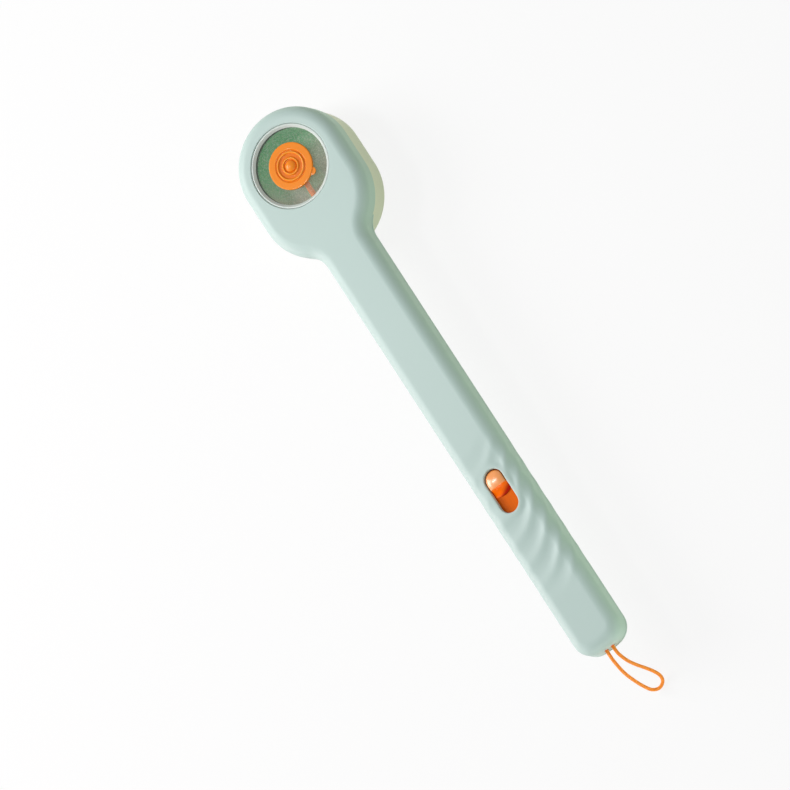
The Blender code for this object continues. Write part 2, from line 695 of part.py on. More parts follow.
def bristle_pad(finish):
    """Backing with one tapered strand at each place, all one skin."""
    outer = stadium(BASE_RIM_HALF - WALL - GAP, FAR_X, BASE_STRETCH, 10)
    hole = arc(OUTLET_X, 0, NOZZLE_RADIUS + GAP, 0, 360, 16)[:-1]
    high, low = below(PAD_DEPTH), below(PAD_DEPTH + PAD_THICKNESS)
    maker = bmesh.new()
    boundary = {}
    for level in (high, low):
        rows = []
        for outline in (outer, hole):
            rows.append([maker.verts.new((x, y, level)) for x, y, _, _ in outline])
        boundary[level] = rows
    for outline_high, outline_low in zip(boundary[high], boundary[low]):
        count = len(outline_high)
        for k in range(count):
            n = (k + 1) % count
            maker.faces.new((outline_high[k], outline_high[n], outline_low[n], outline_low[k]))
    feet = []
    for x, y in bristle_places():
        foot, tip = [], []
        for k in range(BRISTLE_SIDES):
            a = 2 * math.pi * (k + 0.5) / BRISTLE_SIDES
            c, s = math.cos(a), math.sin(a)
            foot.append(maker.verts.new((x + BRISTLE_ROOT_RADIUS * c, y + BRISTLE_ROOT_RADIUS * s, low)))
            tip.append(maker.verts.new((x + BRISTLE_TIP_RADIUS * c, y + BRISTLE_TIP_RADIUS * s, 0.0)))
        for k in range(BRISTLE_SIDES):
            n = (k + 1) % BRISTLE_SIDES
            maker.faces.new((foot[k], foot[n], tip[n], tip[k]))
        maker.faces.new(tip)
        feet.append(foot)
    fill_around(maker, boundary[high][0], [boundary[high][1]])
    fill_around(maker, boundary[low][0], [boundary[low][1]] + feet)
    return make_object("bristle_pad", maker, finish)


def fill_around(maker, outline, holes):
    """Flat triangles between an outline and the loops inside it."""
    corners, owner, edges = [], [], []
    for index, points in enumerate([outline] + holes):
        start = len(corners)
        for k, corner in enumerate(points):
            corners.append(corner)
            owner.append(index)
            edges.append((start + k, start + (k + 1) % len(points)))
    flat = [Vector((v.co.x * 1000, v.co.y * 1000)) for v in corners]
    _, _, faces, sources, _, _ = delaunay_2d_cdt(flat, edges, [], 0, 1e-6)
    for face in faces:
        inside = {owner[sources[v][0]] for v in face}
        if len(inside) > 1 or inside == {0}:
            maker.faces.new([corners[sources[v][0]] for v in face])


def pad_retainer(finish):
    plan = stadium(BASE_RIM_HALF - WALL - GAP, FAR_X, BASE_STRETCH, 10)
    top = below(PAD_DEPTH + PAD_THICKNESS + GAP)
    low = top - RETAINER_THICKNESS
    chamfer = RETAINER_THICKNESS / 2
    rings = [
        ring(plan, 0.0, top),
        ring(plan, 0.0, low),
        ring(plan, RETAINER_WIDTH - chamfer, low),
        ring(plan, RETAINER_WIDTH, low + chamfer),
        ring(plan, RETAINER_WIDTH, top),
    ]
    return make_object("pad_retainer", loft(rings, closed_profile=True), finish)


def outlet_nozzle(finish):
    pad_low = PAD_DEPTH + PAD_THICKNESS
    lip_top = pad_low + GAP
    lip_low = lip_top + NOZZLE_LIP * 0.7
    tip = pad_low + NOZZLE_REACH
    profile = [
        (OUTLET_RADIUS, below(PAD_DEPTH)),
        (NOZZLE_RADIUS, below(PAD_DEPTH)),
        (NOZZLE_RADIUS, below(lip_top)),
        (NOZZLE_RADIUS + NOZZLE_LIP, below(lip_top)),
        (NOZZLE_RADIUS + NOZZLE_LIP, below(lip_low)),
        (NOZZLE_RADIUS * 0.8, below(lip_low + NOZZLE_LIP * 0.4)),
        (OUTLET_RADIUS + NOZZLE_LIP / 2, below(tip)),
        (OUTLET_RADIUS, below(tip)),
    ]
    return make_object("outlet_nozzle", turned(profile, (OUTLET_X, 0), 20), finish)


# Window and filler plug


def flat_ring(name, center, inner, outer, top, thickness, segments, finish):
    profile = [(inner, top), (outer, top), (outer, top - thickness), (inner, top - thickness)]
    return make_object(name, turned(profile, center, segments), finish)


def window_bezel(finish):
    top, low = below(BEZEL_DEPTH), below(BEZEL_DEPTH + BEZEL_THICKNESS)
    profile = [
        (CLEAR_RADIUS + BEZEL_CHAMFER, top),
        (OPENING_RADIUS - GAP, top),
        (OPENING_RADIUS - GAP, low),
        (CLEAR_RADIUS, low),
    ]
    return make_object("window_bezel", turned(profile, (FAR_X, 0), 56), finish)


def filler_plug(finish):
    face = below(LENS_TOP - GAP - PLUG_THICKNESS)
    seat = below(LENS_TOP - GAP)
    foot = seat - PLUG_NECK
    neck = FILLER_RADIUS - GAP
    dish = face - PLUG_DISH_DEPTH
    profile = [(0, foot), (neck - GAP * 2, foot), (neck, foot + GAP * 2), (neck, seat)]
    profile += [(PLUG_RADIUS, seat), (PLUG_RADIUS, face - GAP), (PLUG_RADIUS - GAP, face)]
    profile += [(PLUG_DISH_RADIUS, face), (PLUG_DISH_RADIUS - PLUG_DISH_SLOPE, dish)]
    for radius in reversed(PLUG_RINGS):
        profile += [
            (radius + PLUG_RING_HALF, dish),
            (radius, dish + PLUG_RING_HEIGHT),
            (radius - PLUG_RING_HALF, dish),
        ]
    for k in range(PLUG_DOME_STEPS):
        a = math.pi / 2 * k / PLUG_DOME_STEPS
        profile.append((PLUG_DOME_RADIUS * math.cos(a), dish + PLUG_DOME_HEIGHT * math.sin(a)))
    profile.append((0, dish + PLUG_DOME_HEIGHT))
    plug = make_object("filler_plug", turned(profile, (FAR_X, 0), 28), finish)
    a = math.radians(TAB_ANGLE)
    place = (FAR_X + TAB_DISTANCE * math.cos(a), TAB_DISTANCE * math.sin(a))
    low = seat + GAP / 2
    top = low + TAB_THICKNESS
    tab = [(0, top), (TAB_RADIUS, top), (TAB_RADIUS, low), (0, low)]
    return join(plug, "join_pull_tab", turned(tab, place, 16))


# Reservoir and valve


def reservoir_cup(finish):
    """Gel cup with a rim for the lens, a spigot for the rod and a spout below."""
    outer = CLEAR_RADIUS + CUP_WALL
    rim = REBATE_RADIUS + CUP_RIM_WALL
    top = below(FACE_THICKNESS + GAP)
    ledge = below(LEDGE_DEPTH)
    profile = [
        (0, below(CUP_BOTTOM)),
        (outer - CUP_WALL, below(CUP_BOTTOM)),
        (outer, below(CUP_BOTTOM - CUP_WALL)),
        (outer, ledge - CUP_WALL),
        (rim, ledge - CUP_WALL + (rim - outer)),
        (rim, top),
        (0, top),
    ]
    cup = make_object("reservoir_cup", turned(profile, (FAR_X, 0), 40), finish)
    start = FAR_X + CLEAR_RADIUS
    rod_z = below(ROD_DEPTH)
    spigot = [(0, start), (SPIGOT_RADIUS, start), (SPIGOT_RADIUS, SPIGOT_END), (0, SPIGOT_END)]
    join(cup, "join_spigot", turned(spigot, (0, rod_z), 16, "X"))
    spout_top, spout_low = below(CUP_BOTTOM - CUP_FLOOR / 2), below(FLOOR_DEPTH + BASE_FLOOR)
    spout = [(0, spout_top), (SPOUT_RADIUS, spout_top), (SPOUT_RADIUS, spout_low), (0, spout_low)]
    join(cup, "join_spout", turned(spout, (OUTLET_X, 0), 16))
    hollow = [
        (0, top + WALL),
        (REBATE_RADIUS, top + WALL),
        (REBATE_RADIUS, ledge),
        (CLEAR_RADIUS, ledge),
        (CLEAR_RADIUS, below(CUP_DEPTH)),
        (0, below(CUP_DEPTH)),
    ]
    cut(cup, "cut_cup_hollow", turned(hollow, (FAR_X, 0), 40))
    bore = ROD_RADIUS + GAP + GLAND_WALL + GAP
    start, end = FAR_X + CLEAR_RADIUS - CUP_WALL, SPIGOT_END + WALL
    hole = [(0, start), (bore, start), (bore, end), (0, end)]
    cut(cup, "cut_rod_bore", turned(hole, (0, rod_z), 16, "X"))
    seat = OUTLET_RADIUS + VALVE_SEAL_WIDTH + 2 * GAP
    seat_z = below(CUP_DEPTH + VALVE_SEAL_THICKNESS + GAP)
    high, low = below(CUP_DEPTH) + WALL, below(PAD_DEPTH)
    drain = [(0, high), (seat, high), (seat, seat_z), (OUTLET_RADIUS, seat_z)]
    drain += [(OUTLET_RADIUS, low), (0, low)]
    return cut(cup, "cut_outlet", turned(drain, (OUTLET_X, 0), 16))


def gate_guide(finish):
    """Low roofed track over the shutter, open towards the handle."""
    half = GATE_HALF + GAP
    start = OUTLET_X - half - GUIDE_WALL
    end = OUTLET_X + GATE_HALF + SLIDER_TRAVEL
    roof = GATE_TOP - GAP - GUIDE_WALL * 0.7
    guide = make_object(
        "gate_guide",
        box((start, -half - GUIDE_WALL, below(GATE_BOTTOM)), (end, half + GUIDE_WALL, below(roof))),
        finish,
    )
    track = box((OUTLET_X - half, -half, below(CUP_BOTTOM)), (end + WALL, half, below(GATE_TOP - GAP)))
    cut(guide, "cut_gate_track", track)
    side = POST_RADIUS + 2 * GAP
    slot = box((OUTLET_X - side, -side, below(CUP_BOTTOM)), (end + WALL, side, below(roof - WALL)))
    return cut(guide, "cut_post_slot", slot)


def valve_gate(finish):
    """Shutter plate with the post that the rod's eye turns on."""
    eye_low = ROD_DEPTH + ROD_RADIUS
    shoulder = POST_RADIUS + 1.2 * MM
    shoulder_top = below(eye_low + GAP)
    post_top = below(ROD_DEPTH - ROD_RADIUS)
    plate_mid = below(GATE_TOP + GATE_THICKNESS / 2)
    profile = [
        (0, plate_mid),
        (POST_RADIUS, plate_mid),
        (POST_RADIUS, shoulder_top - 1.5 * MM),
        (shoulder, shoulder_top - 1.5 * MM),
        (shoulder, shoulder_top),
        (POST_RADIUS, shoulder_top),
        (POST_RADIUS, post_top),
        (0, post_top),
    ]
    gate = make_object("valve_gate", turned(profile, (OUTLET_X, 0), 12), finish)
    low = (OUTLET_X - GATE_HALF, -GATE_HALF, below(GATE_BOTTOM))
    high = (OUTLET_X + GATE_HALF, GATE_HALF, below(GATE_TOP))
    return join(gate, "join_shutter", box(low, high))


def pull_rod(finish):
    """Round rod with an eye over the post and two collars that hold the slider's stem."""
    start = OUTLET_X + EYE_RADIUS + EYE_WALL / 2
    front = STEM_START - GAP
    back = STEM_START + STEM_LENGTH + GAP
    profile = [
        (0, start),
        (ROD_RADIUS, start),
        (ROD_RADIUS, front - ROD_COLLAR_LENGTH),
        (ROD_COLLAR_RADIUS, front - ROD_COLLAR_LENGTH),
        (ROD_COLLAR_RADIUS, front),
        (ROD_RADIUS, front),
        (ROD_RADIUS, back),
        (ROD_COLLAR_RADIUS, back),
        (ROD_COLLAR_RADIUS, back + ROD_COLLAR_LENGTH),
        (0, back + ROD_COLLAR_LENGTH),
    ]
    rod = make_object("pull_rod", turned(profile, (0, below(ROD_DEPTH)), 12, "X"), finish)
    top, low = below(ROD_DEPTH - ROD_RADIUS), below(ROD_DEPTH + ROD_RADIUS)
    outer = EYE_RADIUS + EYE_WALL
    eye = [(EYE_RADIUS, top), (outer, top), (outer, low), (EYE_RADIUS, low)]
    return join(rod, "join_eye", turned(eye, (OUTLET_X, 0), 18))


def rod_gland(finish):
    bore = ROD_RADIUS + GAP
    sleeve = bore + GLAND_WALL
    start = FAR_X + CLEAR_RADIUS + CUP_WALL
    face = SPIGOT_END + GAP
    profile = [
        (bore, start),
        (sleeve, start),
        (sleeve, face),
        (SPIGOT_RADIUS, face),
        (SPIGOT_RADIUS, face + GLAND_FLANGE),
        (bore, face + GLAND_FLANGE),
    ]
    return make_object("rod_gland", turned(profile, (0, below(ROD_DEPTH)), 16, "X"), finish)


# Slider


def button_rise(along, y):
    """Height over the button's foot: crowned pad, ridge, hollow slope and thin lip."""
    crown = BUTTON_CROWN * abs(y / BUTTON_HALF_WIDTH) ** 3
    full = BUTTON_PROUD + CARRIAGE_DEPTH - GAP
    peak = BUTTON_RIDGE * 0.7
    if along <= peak:
        return full - BUTTON_HEAD_DROP * (1 - along / peak) ** 2 - crown
    if along <= BUTTON_RIDGE:
        return full - BUTTON_RIDGE_DROP * ((along - peak) / (BUTTON_RIDGE - peak)) ** 2 - crown
    fall = (along - BUTTON_RIDGE) / (BUTTON_LENGTH - BUTTON_RIDGE)
    hollow = max(1 - fall / 0.85, 0.0) ** 2
    edge = abs(y) > SLOT_HALF_WIDTH * 0.9 and fall > 0.4
    drop = full - BUTTON_RIDGE_DROP - BUTTON_LIP
    return BUTTON_LIP if edge else BUTTON_LIP + hollow * (drop - crown)


def slide_button(finish):
    """Thumb button, a height field on a plan with a round head end and a bowed tail end."""
    columns = 8
    stations = []
    for k in range(6):
        stations.append(BUTTON_HALF_WIDTH * (1 - math.cos(math.pi / 2 * (k + 0.4) / 5.4)))
    for k in range(1, 5):
        stations.append(BUTTON_HALF_WIDTH + (BUTTON_RIDGE - BUTTON_HALF_WIDTH) * k / 4)
    for k in range(1, 9):
        stations.append(BUTTON_RIDGE + (BUTTON_LENGTH - BUTTON_RIDGE) * k / 8)
    bottom = below(CARRIAGE_DEPTH - GAP)
    upper, lower = [], []
    maker = bmesh.new()
    for along in stations:
        reach = max(BUTTON_HALF_WIDTH - along, 0.0)
        width = math.sqrt(BUTTON_HALF_WIDTH**2 - reach**2)
        top_row, low_row = [], []
        for c in range(columns + 1):
            y = width * math.sin(math.pi / 2 * (2 * c / columns - 1))
            bow = BUTTON_TAIL_RADIUS - math.sqrt(BUTTON_TAIL_RADIUS**2 - y**2)
            x = BUTTON_START + along - bow * max(2 * along / BUTTON_LENGTH - 1, 0.0)
            top_row.append(maker.verts.new((x, y, bottom + button_rise(along, y))))
            low_row.append(maker.verts.new((x, y, bottom)))
        upper.append(top_row)
        lower.append(low_row)
    for rows in (upper, lower):
        for near, far in zip(rows, rows[1:]):
            for c in range(columns):
                maker.faces.new((near[c], near[c + 1], far[c + 1], far[c]))
    for k in range(len(upper) - 1):
        for side in (0, columns):
            corners = (upper[k][side], upper[k + 1][side], lower[k + 1][side], lower[k][side])
            maker.faces.new(corners)
    for k in (0, -1):
        for c in range(columns):
            maker.faces.new((upper[k][c], upper[k][c + 1], lower[k][c + 1], lower[k][c]))
    return make_object("slide_button", maker, finish)


def slider_carriage(finish):
    top, low = CARRIAGE_DEPTH, CARRIAGE_DEPTH + CARRIAGE_THICKNESS
    plate_low = (CARRIAGE_START, -CARRIAGE_HALF_WIDTH, below(low))
    plate = box(plate_low, (CARRIAGE_END, CARRIAGE_HALF_WIDTH, below(top)))
    carriage = make_object("slider_carriage", plate, finish)
    stem_low = (STEM_START, -STEM_HALF_WIDTH, below(STEM_DEPTH))
    stem = box(stem_low, (STEM_START + STEM_LENGTH, STEM_HALF_WIDTH, below(low - CARRIAGE_THICKNESS / 2)))
    join(carriage, "join_stem", stem)
    radius = ROD_RADIUS + GAP
    start, end = STEM_START - WALL, STEM_START + STEM_LENGTH + WALL
    hole = [(0, start), (radius, start), (radius, end), (0, end)]
    cut(carriage, "cut_rod_clip", turned(hole, (0, below(ROD_DEPTH)), 12, "X"))
    mouth = ROD_RADIUS * 0.85
    clip = box((start, -mouth, below(STEM_DEPTH + WALL)), (end, mouth, below(ROD_DEPTH)))
    return cut(carriage, "cut_clip_mouth", clip)


def slider_guide(finish):
    """Channel under the slot: side walls, ledges for the plate, and four screw ears."""
    top = FACE_THICKNESS + GAP
    ledge = CARRIAGE_DEPTH + CARRIAGE_THICKNESS + GAP
    floor = CHANNEL_FLOOR_DEPTH
    half = [
        (CHANNEL_OUTER, floor + CHANNEL_FLOOR),
        (CHANNEL_OUTER, top),
        (CHANNEL_INNER, top),
        (CHANNEL_INNER, ledge),
        (LEDGE_INNER, ledge),
        (LEDGE_INNER, ledge + LEDGE_THICKNESS),
        (CHANNEL_INNER, ledge + LEDGE_THICKNESS),
        (CHANNEL_INNER, floor),
    ]
    section = [(y, below(depth)) for y, depth in half]
    section += [(-y, z) for y, z in reversed(section)]
    guide = make_object("slider_guide", extrude_section(section, CHANNEL_START, CHANNEL_END), finish)
    ears = []
    for x, y in boss_places():
        side = math.copysign(1.0, y)
        ys = sorted((side * (CHANNEL_OUTER - CHANNEL_WALL / 2), y + side * BOSS_RADIUS))
        low = (x - EAR_LENGTH / 2, ys[0], below(EAR_DEPTH + EAR_THICKNESS))
        ears.append(box(low, (x + EAR_LENGTH / 2, ys[1], below(EAR_DEPTH))))
    join(guide, "join_ears", merged(*ears))
    holes = [screw_hole(x, y, WALL) for x, y in boss_places()]
    return cut(guide, "cut_ear_holes", merged(*holes))


def guide_screw(index, x, y, finish):
    head_top = below(EAR_DEPTH + EAR_THICKNESS + GAP)
    head_low = head_top - SCREW_HEAD_HEIGHT
    tip = head_top + SCREW_LENGTH
    profile = [
        (0, head_low),
        (SCREW_HEAD_RADIUS * 0.8, head_low),
        (SCREW_HEAD_RADIUS, head_low + SCREW_HEAD_HEIGHT * 0.4),
        (SCREW_HEAD_RADIUS, head_top),
        (SCREW_RADIUS, head_top),
        (SCREW_RADIUS, tip - SCREW_RADIUS),
        (SCREW_RADIUS * 0.4, tip),
        (0, tip),
    ]
    return make_object(f"guide_screw_{index}", turned(profile, (x, y), 10), finish)


def detent_spring(finish):
    """Leaf in the channel with a bump that the stem clicks over."""
    low = CHANNEL_FLOOR_DEPTH - GAP
    middle = STEM_START + STEM_LENGTH + SLIDER_TRAVEL / 2
    start = middle - SPRING_LENGTH / 2
    line = [(0.0, 0.0), (0.42, 0.0), (0.5, SPRING_BUMP), (0.58, 0.0), (1.0, 0.0)]
    under = [(start + share * SPRING_LENGTH, below(low) + rise) for share, rise in line]
    over = [(x, z + SPRING_THICKNESS) for x, z in reversed(under)]
    rings = []
    for y in (-SPRING_WIDTH / 2, SPRING_WIDTH / 2):
        rings.append([(x, y, z) for x, z in under + over])
    return make_object("detent_spring", loft(rings), finish)


# Cord


def cord_anchor(finish):
    """Crimp bar inside the tail with two stubs through the end wall."""
    x = TAIL_X - WALL - GAP - ANCHOR_RADIUS
    z = below(CORD_DEPTH)
    section = []
    for k in range(12):
        a = 2 * math.pi * (k + 0.5) / 12
        section.append((x + ANCHOR_RADIUS * math.cos(a), z + ANCHOR_RADIUS * math.sin(a)))
    rings = [[(px, y, pz) for px, pz in section] for y in (-ANCHOR_LENGTH / 2, ANCHOR_LENGTH / 2)]
    anchor = make_object("cord_anchor", loft(rings), finish)
    stubs = []
    for side in (-1, 1):
        profile = [(0, x), (CORD_RADIUS, x), (CORD_RADIUS, TAIL_X - GAP / 2), (0, TAIL_X - GAP / 2)]
        stubs.append(turned(profile, (side * CORD_HALF_SPACING, z), 10, "X"))
    return join(anchor, "join_stubs", merged(*stubs))


def spline_point(a, b, c, d, t):
    """Point between b and c on a smooth curve through four points."""
    return 0.5 * (
        2 * b + (c - a) * t + (2 * a - 5 * b + 4 * c - d) * t * t + (3 * b - a - 3 * c + d) * t**3
    )


def cord_path():
    route = [Vector((TAIL_X + x * MM, y * MM, z * MM)) for x, y, z in CORD_ROUTE]
    route = [2 * route[0] - route[1]] + route + [2 * route[-1] - route[-2]]
    points = []
    for k in range(1, len(route) - 2):
        for step in range(CORD_SEGMENTS):
            points.append(spline_point(*route[k - 1 : k + 3], step / CORD_SEGMENTS))
    points.append(route[-2])
    return points


def cord_loop(finish):
    curve = bpy.data.curves.new("cord_loop", "CURVE")
    curve.dimensions = "3D"
    curve.bevel_depth = CORD_RADIUS
    curve.bevel_resolution = 2
    curve.use_fill_caps = True
    path = cord_path()
    spline = curve.splines.new("POLY")
    spline.points.add(len(path) - 1)
    for point, place in zip(spline.points, path):
        point.co = (*place, 1.0)
    curve.materials.append(finish)
    result = bpy.data.objects.new("cord_loop", curve)
    bpy.context.scene.collection.objects.link(result)
    return result


# Assembly


def hang_on(pieces, name, place):
    """Parent pieces to an empty that sits on their joint's axis."""
    empty = bpy.data.objects.new(name, None)
    empty.location = place
    bpy.context.scene.collection.objects.link(empty)
    for piece in pieces:
        piece.parent = empty
        piece.matrix_parent_inverse = Matrix.Translation(-Vector(place))


def main():
    for old in list(bpy.data.objects):
        bpy.data.objects.remove(old, do_unlink=True)
    mint = material("mint_plastic", (0.56, 0.70, 0.66), 0.45)
    cream = material("cream_plastic", (0.82, 0.83, 0.77), 0.5)
    silicone = material("white_silicone", (0.86, 0.87, 0.82), 0.55)
    orange_silicone = material("orange_silicone", (0.93, 0.30, 0.03), 0.5)
    orange_gloss = material("orange_gloss", (0.85, 0.14, 0.01), 0.18)
    orange_plate = material("orange_plate", (0.66, 0.13, 0.01), 0.4)
    orange_cord = material("orange_cord", (0.80, 0.28, 0.04), 0.6)
    clear = material("clear_plastic", (0.85, 0.92, 0.88), 0.1, 0.3)
    frosted = material("frosted_plastic", (0.62, 0.70, 0.66), 0.35, 0.6)
    light = material("light_plastic", (0.80, 0.85, 0.82), 0.3)
    grey = material("grey_rubber", (0.30, 0.32, 0.32), 0.7)
    white = material("white_plastic", (0.80, 0.80, 0.78), 0.45)
    steel = material("steel", (0.55, 0.56, 0.57), 0.3)

    back_shell(mint)
    front_shell(mint)
    brush_base(cream)
    bristle_pad(silicone)
    pad_retainer(cream)
    outlet_nozzle(orange_silicone)
    window_bezel(light)
    lens_top = below(LENS_TOP)
    head = (FAR_X, 0)
    flat_ring("window_lid", head, FILLER_RADIUS, LENS_RADIUS, lens_top, LENS_THICKNESS, 48, clear)
    seal_top = below(LENS_BOTTOM + GAP)
    flat_ring("lid_seal", head, CLEAR_RADIUS + GAP, LENS_RADIUS, seal_top, SEAL_THICKNESS, 40, grey)
    plug = filler_plug(orange_silicone)
    reservoir_cup(frosted)
    gate_guide(white)
    outlet = (OUTLET_X, 0)
    inner = OUTLET_RADIUS + GAP
    outer, top = inner + VALVE_SEAL_WIDTH, below(CUP_DEPTH)
    flat_ring("valve_seal", outlet, inner, outer, top, VALVE_SEAL_THICKNESS, 16, grey)
    inner = SPOUT_RADIUS + GAP
    outer, top = inner + OUTLET_SEAL_WIDTH, below(FLOOR_DEPTH)
    flat_ring("outlet_seal", outlet, inner, outer, top, OUTLET_SEAL_THICKNESS, 20, grey)
    rod_gland(grey)
    slider = [valve_gate(white), pull_rod(orange_plate), slide_button(orange_gloss)]
    slider.append(slider_carriage(orange_plate))
    slider_guide(white)
    for index, (x, y) in enumerate(boss_places(), start=1):
        guide_screw(index, x, y, steel)
    detent_spring(steel)
    cord_anchor(orange_cord)
    cord_loop(orange_cord)

    hang_on(slider, "slider_axis", (SLOT_X, 0.0, below(ROD_DEPTH)))
    hang_on([plug], "plug_axis", (FAR_X, 0.0, below(LENS_TOP)))


main()
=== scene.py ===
import math

import bmesh
import bpy
from bpy.props import FloatProperty, FloatVectorProperty, IntProperty, PointerProperty
from mathutils import Matrix, Vector


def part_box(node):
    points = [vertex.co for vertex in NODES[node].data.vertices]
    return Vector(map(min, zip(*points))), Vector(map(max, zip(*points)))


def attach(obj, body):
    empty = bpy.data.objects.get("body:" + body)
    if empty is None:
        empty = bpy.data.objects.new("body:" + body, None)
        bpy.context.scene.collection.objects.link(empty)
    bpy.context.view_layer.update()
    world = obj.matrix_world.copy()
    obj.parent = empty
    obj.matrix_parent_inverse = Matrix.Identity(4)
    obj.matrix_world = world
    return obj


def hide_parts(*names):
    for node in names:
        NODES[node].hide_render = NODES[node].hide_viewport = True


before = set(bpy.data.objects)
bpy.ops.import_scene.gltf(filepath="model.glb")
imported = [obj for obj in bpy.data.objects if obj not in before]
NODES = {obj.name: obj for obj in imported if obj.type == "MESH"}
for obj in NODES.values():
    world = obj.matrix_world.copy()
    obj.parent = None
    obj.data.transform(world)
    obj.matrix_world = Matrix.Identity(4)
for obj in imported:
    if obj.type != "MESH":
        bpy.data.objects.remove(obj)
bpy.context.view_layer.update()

bl_info = {
    "name": "Bath Brush",
    "version": (1, 0, 0),
    "blender": (4, 5, 0),
    "location": "View3D > Sidebar > Bath Brush",
    "description": "Long-handled bath brush with a gel reservoir, thumb slider and hanging cord",
    "category": "Add Mesh",
}

MM = 0.001
SIDE = math.pi / 2  # from straight up to straight out


def box_middle(name, axis):
    """Middle of a solid's box along X, Y or Z, which are 0, 1 and 2."""
    low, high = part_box(name)
    return (low[axis] + high[axis]) / 2


# Places that the frame gives
BACK_LOW, BACK_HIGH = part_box("back_shell")
FACE_Z = BACK_HIGH.z
HEAD_RADIUS = (BACK_HIGH.y - BACK_LOW.y) / 2
FAR_X = BACK_LOW.x + HEAD_RADIUS  # axis of the head's far arc and of the window
TAIL_X = BACK_HIGH.x
SPLIT_DEPTH = FACE_Z - BACK_LOW.z
HANDLE_DEPTH = FACE_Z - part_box("front_shell")[0].z
BASE_LOW, BASE_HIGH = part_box("brush_base")
HEAD_DEPTH = FACE_Z - BASE_LOW.z
ROD_DEPTH = FACE_Z - box_middle("rod_gland", 2)
OUTLET_X = box_middle("outlet_nozzle", 0)
BUTTON_LOW, BUTTON_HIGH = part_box("slide_button")

# Sizes that several pieces share
PLUG_SEAT = 3.1 * MM  # foot of the plug up to the underside of its flange
TONGUE_HEIGHT = 1.8 * MM  # lip of the lower mouldings inside the upper shell
TONGUE_WALL = 1.3 * MM
RETAINER_WIDTH = 2.5 * MM
NOZZLE_LIP = 5.4 * MM

# Route of the cord's centre, the same points as the solid's: X beyond the tail, Y and Z
CORD_ROUTE = (
    (0.0003, -0.0022, 0.0324),
    (0.0040, -0.0023, 0.0321),
    (0.0078, -0.0026, 0.0303),
    (0.0140, -0.0028, 0.0260),
    (0.0187, -0.0027, 0.0190),
    (0.0224, -0.0024, 0.0110),
    (0.0249, -0.0014, 0.0046),
    (0.0257, 0.0018, 0.0015),
    (0.0238, 0.0053, 0.0014),
    (0.0209, 0.0065, 0.0034),
    (0.0179, 0.0060, 0.0080),
    (0.0153, 0.0049, 0.0140),
    (0.0128, 0.0037, 0.0208),
    (0.0098, 0.0028, 0.0268),
    (0.0060, 0.0023, 0.0309),
    (0.0030, 0.0022, 0.0322),
    (0.0003, 0.0022, 0.0324),
)


# Settings


def length(name, millimetres, description):
    """Property for a size, with its default given in millimetres."""
    return FloatProperty(
        name=name, description=description, default=millimetres * MM, unit="LENGTH", precision=5
    )


def number(name, default, description):
    return FloatProperty(name=name, description=description, default=default, precision=3)


def whole(name, default, description):
    return IntProperty(name=name, description=description, default=default)


def colour(name, default, description):
    """Property for a surface colour, as linear red, green and blue."""
    return FloatVectorProperty(
        name=name, description=description, default=default, subtype="COLOR", min=0.0, max=1.0
    )


class BrushBody(bpy.types.PropertyGroup):
    head_stretch: length("Head stretch", 21.5, "Between the head's two arc centres")
    neck_radius: length("Neck radius", 14.0, "Fillet between head and handle")
    handle_half_width: length("Handle half width", 15.4, "Half the handle's width")
    tail_corner: length("Tail corner", 11.0, "Radius of the tail's corners")
    tail_end: length("Tail end", 45.0, "Radius of the tail's end")
    top_edge: length("Upper edge", 6.5, "Radius of the edge round the back face")
    lower_edge: length("Lower edge", 4.6, "Radius of the edge round the underside")
    wall: length("Wall", 2.4, "Wall thickness of both shells")
    face_thickness: length("Face thickness", 2.6, "Thickness of the back face")
    gap: length("Gap", 0.3, "Clearance between neighbouring pieces")
    window_radius: length("Window opening", 23.8, "Radius of the opening in the head")
    slot_length: length("Slot length", 27.5, "Length of the slot under the thumb")
    slot_half_width: length("Slot half width", 5.85, "Half the slot's width")
    slot_from_tail: length("Slot from tail", 107.2, "Tail end to the slot's middle")
    mesh_step: length("Mesh step", 1.1, "Spacing of points along the outlines")


class BrushGrip(bpy.types.PropertyGroup):
    pitch: length("Wave pitch", 14.5, "From crest to crest of the waves")
    depth: length("Wave depth", 0.85, "Depth of the troughs on the back face")
    side_share: number("Side share", 0.25, "Depth at the sides over depth on the face")
    near_share: number("Near share", 0.35, "Depth along the face's -Y edge over the full depth")
    slant: number("Slant", 0.4, "How far the crests lean along the handle")
    curl: number("Curl", 30.0, "How much the crests curve, per metre")
    curl_start: length("Curl start", 2.0, "Axis to where the crests begin to curve, towards -Y")
    lead: length("Lead", 36.0, "Grip start ahead of the slot's middle")
    tail_margin: length("Tail margin", 36.0, "Grip end to tail end")
    land: length("Land", 1.2, "Flat land round the slot")
    blend: length("Blend", 2.6, "From the land to full waves")


